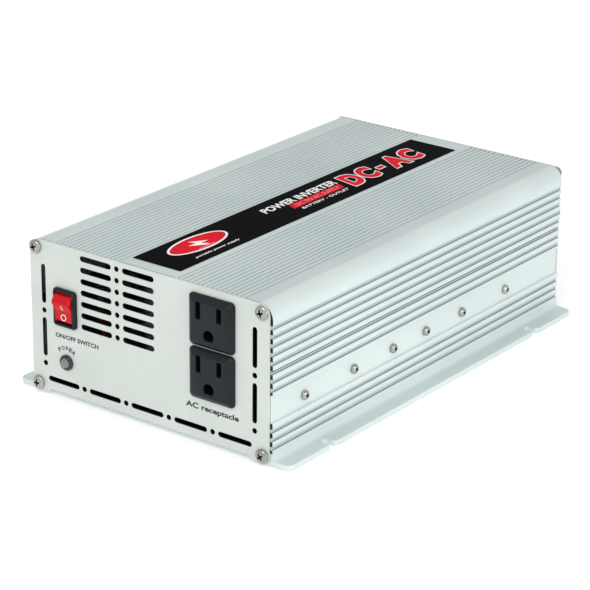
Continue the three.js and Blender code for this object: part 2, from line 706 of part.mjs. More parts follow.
function addFan() {
  const middle = [fan.x, 0, fan.z];
  place('fan_frame', fanFrameSolid(), finishes.black, middle);
  place('fan_rotor', fanRotorSolid(), finishes.black, middle);
  const solid = screwSolid(fanScrew);
  fanCorners.forEach(([x, z], i) => {
    place(`fan_screw_${i + 1}`, solid, finishes.nickel, [x, rearFace + gap, z]);
  });
}

// ------------------------------------------------------------------------------------- terminals

function addTerminals() {
  const bore = terminal.stud + slideGap;
  const bushEnd = rearPlateFront - bush.inside;
  const bushFace = rearFace + gap + bush.rimRise;
  const bushProfile = [
    [bore, bushEnd], [bush.neck, bushEnd], [bush.neck, rearFace + gap], [bush.rim, rearFace + gap],
    [bush.rim, bushFace - 0.8], [bush.rim - 0.8, bushFace], [bore, bushFace], [bore, bushEnd],
  ];
  const headEnd = bushEnd - gap;
  const headStart = headEnd - studHead.thickness;
  const studProfile = [
    [0, rearPlateFront - terminal.inside], [terminal.stud, rearPlateFront - terminal.inside],
    [terminal.stud, headStart], [studHead.radius, headStart], [studHead.radius, headEnd],
    [terminal.stud, headEnd], [terminal.stud, terminalEnd - 0.8], [terminal.stud - 0.8, terminalEnd],
    [0, terminalEnd],
  ];
  const washerStart = bushFace + gap;
  const washerEnd = washerStart + terminalWasher.thickness;
  const washerProfile = [
    [bore, washerStart], [terminalWasher.radius, washerStart], [terminalWasher.radius, washerEnd],
    [bore, washerEnd], [bore, washerStart],
  ];
  const nutShape = shapeOf(Array.from({ length: thumbNut.teeth }, (_, i) => i * 360 / thumbNut.teeth)
    .flatMap((angle) => {
      const quarter = 90 / thumbNut.teeth;
      return [
        ...arc(0, 0, thumbNut.radius, angle - quarter, angle + quarter, 1),
        ...arc(0, 0, thumbNut.radius - thumbNut.notch, angle + 1.6 * quarter, angle + 2.4 * quarter, 1),
      ];
    }));
  const nut = piercedPlate(nutShape, [circle(0, 0, bore, 16)], washerEnd + gap, thumbNut.length);
  [['positive', finishes.red], ['negative', finishes.black]].forEach(([name, bushLook], i) => {
    const position = [terminal.x[i], 0, terminal.z];
    place(`${name}_terminal_bush`, solidFrom(turned(bushProfile, 20)), bushLook, position);
    place(`${name}_stud`, solidFrom(turned(studProfile, 16)), finishes.nickel, position);
    place(`${name}_washer`, solidFrom(turned(washerProfile, 16)), finishes.nickel, position);
    place(`${name}_thumb_nut`, nut, finishes.nickel, position);
  });
  place('earth_screw', screwSolid(earthScrew), finishes.brass, [earth.x, rearFace + gap, earth.z]);
}

// ----------------------------------------------------------------------------------------- board

function addBoard() {
  const halfWidth = footInner + board.grip - gap;
  const blank = box([-halfWidth, halfWidth], [caseFront + board.front, boardRear],
    [board.height + gap, boardTop]);
  place('circuit_board', solidFrom(blank), finishes.fibreglass);
}

/** A double E core standing on the board, and the coil on its middle leg. */
function addTransformers() {
  const middleZ = componentBase + core.height / 2;
  const windowHeight = core.height - 2 * core.yoke;
  const windowX = (core.leg + core.window) / 2;
  const windows = [windowX, -windowX].map((x) => rectangle(x, middleZ, core.window, windowHeight));
  const outline = shapeOf(rectangle(0, middleZ, core.width, core.height));
  const coreSolid = piercedPlate(outline, windows, -core.depth / 2, core.depth);
  const coilWidth = core.leg + 2 * core.window - 2 * gap;
  const coilDepth = core.depth + 2 * winding.overhang;
  const coilFoot = middleZ - windowHeight / 2 + gap;
  const coilShape = shapeOf(roundedRectangle(0, 0, coilWidth, coilDepth, winding.radius));
  const coilBlank = prismAlongZ(coilShape, coilFoot, windowHeight - 2 * gap);
  const legShape = shapeOf(rectangle(0, 0, core.leg + 2 * gap, core.depth + 2 * gap));
  const legHole = prismAlongZ(legShape, coilFoot - 1, windowHeight + 2);
  const coilSolid = cut(solidFrom(coilBlank), solidFrom(legHole));
  coreStations.forEach(({ x, rear }, i) => {
    const position = [x, caseRear - rear, 0];
    place(`transformer_core_${i + 1}`, coreSolid, finishes.ferrite, position);
    place(`transformer_coil_${i + 1}`, coilSolid, finishes.tape, position);
  });
}

/** A can capacitor with a rolled bead near its foot. */
function capacitorSolid({ radius, height }) {
  const geometry = turned([
    [0, 0], [radius - 0.5, 0], [radius, 1], [radius - 0.7, 3], [radius, 4.5], [radius, height - 0.8],
    [radius - 0.8, height], [0, height],
  ], 16);
  geometry.rotateX(Math.PI / 2);
  return solidFrom(geometry);
}

function addComponents() {
  const inputSolid = capacitorSolid(inputCapacitor);
  inputCapacitor.x.forEach((x, i) => {
    const position = [x, caseRear - inputCapacitor.rear, componentBase];
    place(`input_capacitor_${i + 1}`, inputSolid, finishes.sleeve, position);
  });
  const busPosition = [busCapacitor.x, caseFront + busCapacitor.front, componentBase];
  place('bus_capacitor', capacitorSolid(busCapacitor), finishes.sleeve, busPosition);

  const chokeSolid = solidFrom(new THREE.TorusGeometry(choke.ring, choke.wire, 8, 16));
  const chokePosition = [choke.x, caseFront + choke.front, componentBase + choke.wire];
  place('output_choke', chokeSolid, finishes.tape, chokePosition);

  const baseTop = componentBase + fuses.base;
  const block = (x, width, depth, from, to) => solidFrom(
    box([x - width / 2, x + width / 2], [-depth / 2, depth / 2], [from, to]));
  const socketBlock = block(0, fuses.width, fuses.depth, componentBase, baseTop);
  const bodies = Array.from({ length: fuses.count }, (_, i) => {
    const x = (i - (fuses.count - 1) / 2) * fuses.width / fuses.count;
    return block(x, fuses.fuseWidth, fuses.fuseDepth, baseTop - 1, baseTop + fuses.fuseRise);
  });
  place('fuse_block', joined(socketBlock, ...bodies), finishes.fuse, [fuses.x, caseRear - fuses.rear, 0]);
}

// -------------------------------------------------------------------------------------- assembly

addBase();
addCover();
addPlates();
addScrews();
addClampBars();
addSockets();
addSwitch();
addLamp();
addFan();
addTerminals();
addBoard();
addTransformers();
addComponents();

const bounds = new THREE.Box3().setFromObject(caseGroup);
caseGroup.position.y = -(bounds.min.y + bounds.max.y) / 2;

const inverter = new THREE.Group();
inverter.add(caseGroup);

export default inverter;
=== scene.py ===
"""The visual model of a portable power inverter.

Every shape is drawn in millimetres in the case's own frame (X across, Y back from the front plate's
face, Z up from the feet) and is then moved as a mesh to the row frame, in metres.
"""
from __future__ import annotations

import json
import logging
import math
import random
from dataclasses import dataclass
from enum import Enum
from typing import Any, Iterable, Sequence

import bmesh
import bpy
from mathutils import Matrix, Vector
from mathutils.geometry import tessellate_polygon

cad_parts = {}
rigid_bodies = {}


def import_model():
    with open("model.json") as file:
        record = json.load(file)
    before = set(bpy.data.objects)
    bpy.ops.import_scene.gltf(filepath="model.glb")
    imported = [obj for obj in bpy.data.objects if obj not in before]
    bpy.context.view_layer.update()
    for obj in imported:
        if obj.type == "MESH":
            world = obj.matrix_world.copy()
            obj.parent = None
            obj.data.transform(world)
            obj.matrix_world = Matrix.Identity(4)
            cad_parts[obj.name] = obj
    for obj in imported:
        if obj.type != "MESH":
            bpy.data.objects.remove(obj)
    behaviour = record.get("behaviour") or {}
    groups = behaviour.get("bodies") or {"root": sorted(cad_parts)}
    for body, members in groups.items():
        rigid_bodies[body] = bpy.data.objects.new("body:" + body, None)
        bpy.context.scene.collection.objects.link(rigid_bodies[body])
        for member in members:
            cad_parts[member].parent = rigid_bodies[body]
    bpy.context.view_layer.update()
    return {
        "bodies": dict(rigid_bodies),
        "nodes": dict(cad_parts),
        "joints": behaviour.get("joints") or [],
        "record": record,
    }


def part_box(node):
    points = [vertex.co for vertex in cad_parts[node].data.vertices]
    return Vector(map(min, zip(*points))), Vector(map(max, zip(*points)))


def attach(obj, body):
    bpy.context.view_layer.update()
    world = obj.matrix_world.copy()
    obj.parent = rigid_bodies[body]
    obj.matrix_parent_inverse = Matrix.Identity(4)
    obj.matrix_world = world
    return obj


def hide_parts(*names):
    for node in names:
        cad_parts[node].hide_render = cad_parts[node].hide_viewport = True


LOG = logging.getLogger("inverter")
MM = 0.001
WELD = 0.002  # Points closer than this, in millimetres, are one point.
Point = Sequence[float]
Loop = list[tuple[float, float]]
Mesh = bpy.types.Mesh
Tree = bpy.types.NodeTree
Feed = bpy.types.NodeSocket  # What one node hands to the next.


# ---------------- node trees


def linear(colour: str) -> tuple[float, float, float, float]:
    """Turns an sRGB hex colour into linear light.

    Args:
        colour: Six hex digits, such as "C8CDD0".

    Returns:
        Red, green, blue and alpha for a node's socket.
    """
    shares = [int(colour[i:i + 2], 16) / 255 for i in (0, 2, 4)]
    return (*(c / 12.92 if c <= 0.04045 else ((c + 0.055) / 1.055) ** 2.4 for c in shares), 1.0)


def add_node(tree: Tree, kind: str, settings: dict[Any, Any] | None = None,
             links: dict[Any, Any] | None = None) -> bpy.types.Node:
    """Adds one node to a tree.

    Args:
        tree: The tree that gets the node.
        kind: The node's type name.
        settings: Properties by name, or input values by socket name or number.
        links: Output sockets by the name or number of the input that they feed.

    Returns:
        The new node.
    """
    node = tree.nodes.new(kind)
    for key, value in (settings or {}).items():
        if isinstance(key, str) and hasattr(node, key):
            setattr(node, key, value)
        else:
            node.inputs[key].default_value = value
    for key, source in (links or {}).items():
        for one in source if isinstance(source, list) else [source]:
            tree.links.new(one, node.inputs[key])
    return node


def stand(name: str, data: bpy.types.ID) -> bpy.types.Object:
    """Stands a new object that holds some data in the scene.

    Args:
        name: The object's name.
        data: Its mesh, curve, camera or light.

    Returns:
        The object.
    """
    thing = bpy.data.objects.new(name, data)
    bpy.context.scene.collection.objects.link(thing)
    return thing


class Socket(Enum):
    """Kinds of input that a geometry tree takes."""

    LENGTH = "NodeSocketFloat"
    COUNT = "NodeSocketInt"
    PIECE = "NodeSocketObject"
    FINISH = "NodeSocketMaterial"


class GeometryTree:
    """A geometry node tree with named inputs, run on one mesh at a time."""

    def __init__(self, name: str, inputs: dict[str, Socket]) -> None:
        """Starts the tree.

        Args:
            name: The tree's name.
            inputs: The kind of each named input after the geometry.
        """
        self.tree = bpy.data.node_groups.new(name, "GeometryNodeTree")
        face = self.tree.interface
        face.new_socket("Geometry", in_out="INPUT", socket_type="NodeSocketGeometry")
        face.new_socket("Geometry", in_out="OUTPUT", socket_type="NodeSocketGeometry")
        self.keys = {
            title: face.new_socket(title, in_out="INPUT", socket_type=kind.value).identifier
            for title, kind in inputs.items()}
        self.given = self.tree.nodes.new("NodeGroupInput").outputs

    def add(self, kind: str, settings: dict[Any, Any] | None = None,
            links: dict[Any, Any] | None = None) -> bpy.types.NodeOutputs:
        """Adds one node and returns its outputs."""
        return add_node(self.tree, kind, settings, links).outputs

    def end(self, geometry: Feed) -> None:
        """Ends the tree in Realize Instances and Set Material.

        Args:
            geometry: The socket that carries the finished shape.
        """
        real = self.add("GeometryNodeRealizeInstances", {}, {"Geometry": geometry})
        dressed = self.add("GeometryNodeSetMaterial", {},
                           {"Geometry": real[0], "Material": self.given["Finish"]})
        self.add("NodeGroupOutput", {}, {"Geometry": dressed[0]})

    def run(self, source: Mesh, values: dict[str, Any]) -> Mesh:
        """Runs the tree and gives its result as a plain mesh.

        Args:
            source: The mesh that the tree starts from.
            values: A value for each named input.

        Returns:
            The result, with no modifier left anywhere.
        """
        holder = stand("drawing", source)
        modifier = holder.modifiers.new("tree", "NODES")
        modifier.node_group = self.tree
        for title, value in values.items():
            modifier[self.keys[title]] = value
        ready = holder.evaluated_get(bpy.context.evaluated_depsgraph_get())
        mesh = bpy.data.meshes.new_from_object(ready)
        bpy.data.objects.remove(holder)
        return mesh


class ExtrusionTree(GeometryTree):
    """Fills a closed profile drawn in XY and pushes it down by a length, with eased corners."""

    def __init__(self) -> None:
        """Builds the tree."""
        super().__init__("extruded profile", {
            "Length": Socket.LENGTH, "Corner radius": Socket.LENGTH, "Finish": Socket.FINISH})
        curve = self.add("GeometryNodeMeshToCurve", {}, {"Mesh": self.given["Geometry"]})
        eased = self.add("GeometryNodeFilletCurve", {
            "mode": "POLY", "Count": 2, "Limit Radius": True}, {
            "Curve": curve[0], "Radius": self.given["Corner radius"]})
        face = self.add("GeometryNodeFillCurve", {"mode": "TRIANGLES"}, {"Curve": eased[0]})
        down = self.add("ShaderNodeMath", {"operation": "MULTIPLY", 1: -1.0},
                        {0: self.given["Length"]})
        offset = self.add("ShaderNodeCombineXYZ", {}, {"Z": down[0]})
        body = self.add("GeometryNodeExtrudeMesh", {"Offset Scale": 1.0, "Individual": False},
                        {"Mesh": face[0], "Offset": offset[0]})
        whole = self.add("GeometryNodeJoinGeometry", {}, {"Geometry": [face[0], body[0]]})
        merged = self.add("GeometryNodeMergeByDistance", {"Distance": WELD}, {"Geometry": whole[0]})
        self.end(merged[0])


class RepeatTree(GeometryTree):
    """Sets one piece on every point, turned by the point's own angles and spun at random."""

    def __init__(self) -> None:
        """Builds the tree."""
        super().__init__("repeated piece", {
            "Piece": Socket.PIECE, "Spin": Socket.LENGTH, "Seed": Socket.COUNT,
            "Finish": Socket.FINISH, "Marked finish": Socket.FINISH})
        piece = self.add("GeometryNodeObjectInfo", {"As Instance": True}, {0: self.given["Piece"]})
        turn, marked = (
            self.add("GeometryNodeInputNamedAttribute", {"data_type": kind, "Name": title})
            for kind, title in (("FLOAT_VECTOR", "turn"), ("BOOLEAN", "marked")))
        placed = self.add("GeometryNodeInstanceOnPoints", {}, {
            "Points": self.given["Geometry"], "Instance": piece["Geometry"], "Rotation": turn[0]})
        spin = self.add("FunctionNodeRandomValue", {"data_type": "FLOAT"},
                        {3: self.given["Spin"], "Seed": self.given["Seed"]})
        angles = self.add("ShaderNodeCombineXYZ", {}, {"Z": spin[1]})
        spun = self.add("GeometryNodeRotateInstances", {}, {
            "Instances": placed[0], "Rotation": angles[0]})
        real = self.add("GeometryNodeRealizeInstances", {}, {"Geometry": spun[0]})
        all_over = self.add("GeometryNodeSetMaterial", {},
                            {"Geometry": real[0], "Material": self.given["Finish"]})
        second = self.add("GeometryNodeSetMaterial", {}, {
            "Geometry": all_over[0], "Selection": marked[0],
            "Material": self.given["Marked finish"]})
        self.add("NodeGroupOutput", {}, {"Geometry": second[0]})


class RingTree(GeometryTree):
    """Sets one piece evenly round a circle in XY, each one turned to face outwards."""

    def __init__(self) -> None:
        """Builds the tree."""
        super().__init__("ring of pieces", {
            "Piece": Socket.PIECE, "Count": Socket.COUNT, "Radius": Socket.LENGTH,
            "Finish": Socket.FINISH})
        piece = self.add("GeometryNodeObjectInfo", {"As Instance": True}, {0: self.given["Piece"]})
        ring = self.add("GeometryNodeMeshCircle", {}, {
            "Vertices": self.given["Count"], "Radius": self.given["Radius"]})
        step = self.add("ShaderNodeMath", {"operation": "DIVIDE", 0: math.tau},
                        {1: self.given["Count"]})
        number = self.add("GeometryNodeInputIndex")
        angle = self.add("ShaderNodeMath", {"operation": "MULTIPLY"}, {0: step[0], 1: number[0]})
        angles = self.add("ShaderNodeCombineXYZ", {}, {"Z": angle[0]})
        placed = self.add("GeometryNodeInstanceOnPoints", {}, {
            "Points": ring[0], "Instance": piece["Geometry"], "Rotation": angles[0]})
        joined = self.add("GeometryNodeJoinGeometry", {}, {
            "Geometry": [placed[0], self.given["Geometry"]]})
        self.end(joined[0])


class WireTree(GeometryTree):
    """Runs a round wire of one radius along a drawn path."""

    def __init__(self) -> None:
        """Builds the tree."""
        super().__init__("wire on a path", {
            "Radius": Socket.LENGTH, "Sides": Socket.COUNT, "Finish": Socket.FINISH})
        path = self.add("GeometryNodeMeshToCurve", {}, {"Mesh": self.given["Geometry"]})
        ring = self.add("GeometryNodeCurvePrimitiveCircle", {"mode": "RADIUS"}, {
            "Radius": self.given["Radius"], "Resolution": self.given["Sides"]})
        wire = self.add("GeometryNodeCurveToMesh", {"Fill Caps": True}, {
            "Curve": path[0], "Profile Curve": ring["Curve"]})
        self.end(wire[0])


class ThreadTree(GeometryTree):
    """Winds a sharp thread ridge up a stud that stands along Z."""

    def __init__(self) -> None:
        """Builds the tree."""
        super().__init__("screw thread", {
            "Radius": Socket.LENGTH, "Pitch": Socket.LENGTH, "Turns": Socket.LENGTH,
            "Ridge": Socket.LENGTH, "Finish": Socket.FINISH})
        height = self.add("ShaderNodeMath", {"operation": "MULTIPLY"},
                          {0: self.given["Pitch"], 1: self.given["Turns"]})
        helix = self.add("GeometryNodeCurveSpiral", {"Resolution": 24}, {
            "Rotations": self.given["Turns"], "Start Radius": self.given["Radius"],
            "End Radius": self.given["Radius"], "Height": height[0]})
        ridge = self.add("GeometryNodeCurvePrimitiveCircle", {"mode": "RADIUS", "Resolution": 4},
                         {"Radius": self.given["Ridge"]})
        thread = self.add("GeometryNodeCurveToMesh", {"Fill Caps": True}, {
            "Curve": helix[0], "Profile Curve": ridge["Curve"]})
        joined = self.add("GeometryNodeJoinGeometry", {}, {
            "Geometry": [thread[0], self.given["Geometry"]]})
        self.end(joined[0])


# ---------------- finishes


@dataclass(frozen=True)
class Finish:
    """A surface with two close tones, a fine grain that also lifts it, and a slow drift of tone.

    The grain's three sizes are in millimetres along X, Y and Z, so a long one draws lines.
    """

    name: str
    pale: str
    deep: str
    grain: tuple[float, float, float] = (0.4, 0.4, 0.4)
    drift: float = 18.0
    rough: tuple[float, float] = (0.4, 0.55)
    lift: float = 0.01
    metallic: float = 0.0
    ior: float = 1.5
    coat: float = 0.0
    clear: float = 0.0
    glow: float = 0.0

    def material(self) -> bpy.types.Material:
        """Gives the finish's material, made the first time it is asked for.

        Returns:
            The material.
        """
        known = bpy.data.materials.get(self.name)
        if known:
            return known
        material = bpy.data.materials.new(self.name)
        material.use_nodes = True
        tree = material.node_tree
        tree.nodes.clear()
        shader = add_node(tree, "ShaderNodeBsdfPrincipled", {
            "Metallic": self.metallic, "IOR": self.ior, "Coat Weight": self.coat,
            "Coat Roughness": 0.08, "Transmission Weight": self.clear,
            "Emission Color": (1, 1, 1, 1), "Emission Strength": self.glow})
        add_node(tree, "ShaderNodeOutputMaterial", {}, {"Surface": shader.outputs[0]})
        place = add_node(tree, "ShaderNodeTexCoord").outputs["Object"]
        # Each noise has cells of a real size. Its middle is spread between two numbers.
        patterns = []
        for sizes, detail, low, high in ((self.grain, 3.0, *self.rough),
                                         ((self.drift,) * 3, 1.0, 0.0, 0.45)):
            scaled = add_node(tree, "ShaderNodeMapping", {"Scale": [1 / (s * MM) for s in sizes]},
                              {"Vector": place})
            noise = add_node(tree, "ShaderNodeTexNoise", {"Scale": 1.0, "Detail": detail},
                             {"Vector": scaled.outputs[0]}).outputs["Fac"]
            spread = add_node(tree, "ShaderNodeMapRange", {
                "From Min": 0.3, "From Max": 0.7, "To Min": low, "To Max": high},
                {"Value": noise}).outputs[0]
            patterns.append((noise, spread))
        (grain, roughness), (_, drift) = patterns
        both = add_node(tree, "ShaderNodeMath", {"operation": "MULTIPLY_ADD", 1: 0.55},
                        {0: grain, 2: drift})
        tone = add_node(tree, "ShaderNodeMix", {
            "data_type": "RGBA", 6: linear(self.deep), 7: linear(self.pale)}, {0: both.outputs[0]})
        colour = self.over(tree, place, tone.outputs[2])
        bump = add_node(tree, "ShaderNodeBump", {"Strength": 1.0, "Distance": self.lift * MM},
                        {"Height": grain})
        for title, source in (("Base Color", colour), ("Roughness", roughness),
                              ("Normal", bump.outputs[0])):
            tree.links.new(source, shader.inputs[title])
        return material

    def over(self, tree: Tree, place: Feed, colour: Feed) -> Feed:
        """Lays a further tone over the plain one. The plain finish has none."""
        return colour


@dataclass(frozen=True)
class ExtrusionWithPaintedShade(Finish):
    """An anodised extrusion with painted shade on its ends, on its inner walls, in its grooves and
    on its roof flats.

    Sizes are in millimetres. A pair is a middle and how far the tone reaches to either side of it.
    """

    # Painted shade: a near-black tone on the end faces beside the plates, where shade falls in the
    # gap behind each plate's edge.
    ends: str = "15181A"
    ends_half: float = 76.4
    ends_floor: float = 6.5
    # Painted shade: a near-black tone on the case's inner walls, so that its openings look dark.
    inside: str = "141718"
    half_width: float = 72.4
    floor: float = 3.1
    roof: float = 79.3
    # The tone of the painted groove shade, also laid thinly on the roof flats.
    shade: str = "8A979B"
    low_fins: tuple[float, float] = (14.5, 7.4)
    high_fins: tuple[float, float] = (54.2, 17.5)
    side_grooves: tuple[float, float] = (75.12, 0.62)
    roof_grooves: tuple[float, float] = (81.2, 0.35)
    roof_reach: tuple[float, float] = (34.0, 34.2)
    roof_flats: tuple[float, float] = (82.0, 0.05)
    flats_share: float = 0.2

    def over(self, tree: Tree, place: Feed, colour: Feed) -> Feed:
        """Lays painted shade in the grooves and on the roof flats, then darker painted shade on the
        inner walls and the ends.

        Args:
            tree: The material's tree.
            place: The coordinates, in metres.
            colour: The plain tone.

        Returns:
            The tone with the others over it.
        """
        normal = add_node(tree, "ShaderNodeNewGeometry").outputs["Normal"]
        facing, where = (add_node(tree, "ShaderNodeSeparateXYZ", {}, {0: source}).outputs
                         for source in (normal, place))
        endwise, upright, across = (
            add_node(tree, "ShaderNodeMath", {"operation": "ABSOLUTE"}, {0: source}).outputs[0]
            for source in (facing["Y"], facing["Z"], where["X"]))
        height = where["Z"]
        colour = add_node(tree, "ShaderNodeMix", {"data_type": "RGBA", 7: linear(self.shade)}, {
            0: self.grooves(tree, across, height, upright, facing["X"]), 6: colour}).outputs[2]
        for tone, tests in (
                (self.inside, ((across, "LESS_THAN", self.half_width * MM),
                               (height, "LESS_THAN", self.roof * MM),
                               (height, "GREATER_THAN", self.floor * MM))),
                (self.ends, ((endwise, "GREATER_THAN", 0.8),
                             (across, "LESS_THAN", self.ends_half * MM),
                             (height, "GREATER_THAN", self.ends_floor * MM)))):
            passed = [add_node(tree, "ShaderNodeMath", {"operation": test, 1: limit},
                               {0: value}).outputs[0] for value, test, limit in tests]
            share = passed[0]
            for other in passed[1:]:
                share = add_node(tree, "ShaderNodeMath", {"operation": "MULTIPLY"},
                                 {0: share, 1: other}).outputs[0]
            colour = add_node(tree, "ShaderNodeMix", {"data_type": "RGBA", 7: linear(tone)},
                              {0: share, 6: colour}).outputs[2]
        return colour

    def grooves(self, tree: Tree, across: Feed, height: Feed, upright: Feed,
                sideways: Feed) -> Feed:
        """Finds the grooves, where the anodising is duller than on the rubbed fin tips.

        Args:
            tree: The material's tree.
            across: How far the surface is from the middle of the case.
            height: How high it is.
            upright: How far it looks up or down, from 0 to 1.
            sideways: How far it looks to the right, from -1 to 1.

        Returns:
            How much of the painted shade shows.
        """
        low, high, side, roof, reach, flats = (
            add_node(tree, "ShaderNodeMath", {
                "operation": "COMPARE", 1: middle * MM, 2: wide * MM}, {0: value}).outputs[0]
            for value, (middle, wide) in (
                (height, self.low_fins), (height, self.high_fins), (across, self.side_grooves),
                (height, self.roof_grooves), (across, self.roof_reach), (height, self.roof_flats)))
        walls, away = (
            add_node(tree, "ShaderNodeMapRange", {
                "From Min": 0.3, "From Max": 0.7, "To Min": least, "To Max": most},
                {0: value}).outputs[0]
            for value, least, most in ((upright, 0.3, 0.95), (sideways, 0.5, -1.2)))
        fins = add_node(tree, "ShaderNodeMath", {"operation": "ADD"}, {0: low, 1: high}).outputs[0]
        for factor in (side, walls):
            fins = add_node(tree, "ShaderNodeMath", {"operation": "MULTIPLY"},
                            {0: fins, 1: factor}).outputs[0]
        top = add_node(tree, "ShaderNodeMath", {"operation": "MULTIPLY"}, {0: roof, 1: reach})
        plain = add_node(tree, "ShaderNodeMath", {"operation": "MULTIPLY_ADD", 1: self.flats_share},
                         {0: flats, 2: fins})
        return add_node(tree, "ShaderNodeMath", {"operation": "MULTIPLY_ADD"}, {
            0: top.outputs[0], 1: away, 2: plain.outputs[0]}).outputs[0]


@dataclass(frozen=True)
class BandedFinish(Finish):
    """A finish crossed by bands of a second tone at an even pitch, such as wound tape or strands.

    A wave texture repeats after `period` units at scale 1.
    """

    band: str = "D8B040"
    pitch: float = 3.0
    axis: str = "Z"
    period: float = 0.314

    def over(self, tree: Tree, place: Feed, colour: Feed) -> Feed:
        """Lays the bands over the plain tones.

        Args:
            tree: The material's tree.
            place: The coordinates, in metres.
            colour: The plain tone.

        Returns:
            The tone with the bands over it.
        """
        wave = add_node(tree, "ShaderNodeTexWave", {
            "wave_type": "BANDS", "bands_direction": self.axis, "wave_profile": "SAW",
            "Scale": 1 / (self.pitch * MM) * self.period, "Distortion": 0.3}, {"Vector": place})
        edge = add_node(tree, "ShaderNodeMapRange", {"From Min": 0.78, "From Max": 0.96},
                        {"Value": wave.outputs["Fac"]})
        return add_node(tree, "ShaderNodeMix", {"data_type": "RGBA", 7: linear(self.band)},
                        {0: edge.outputs[0], 6: colour}).outputs[2]


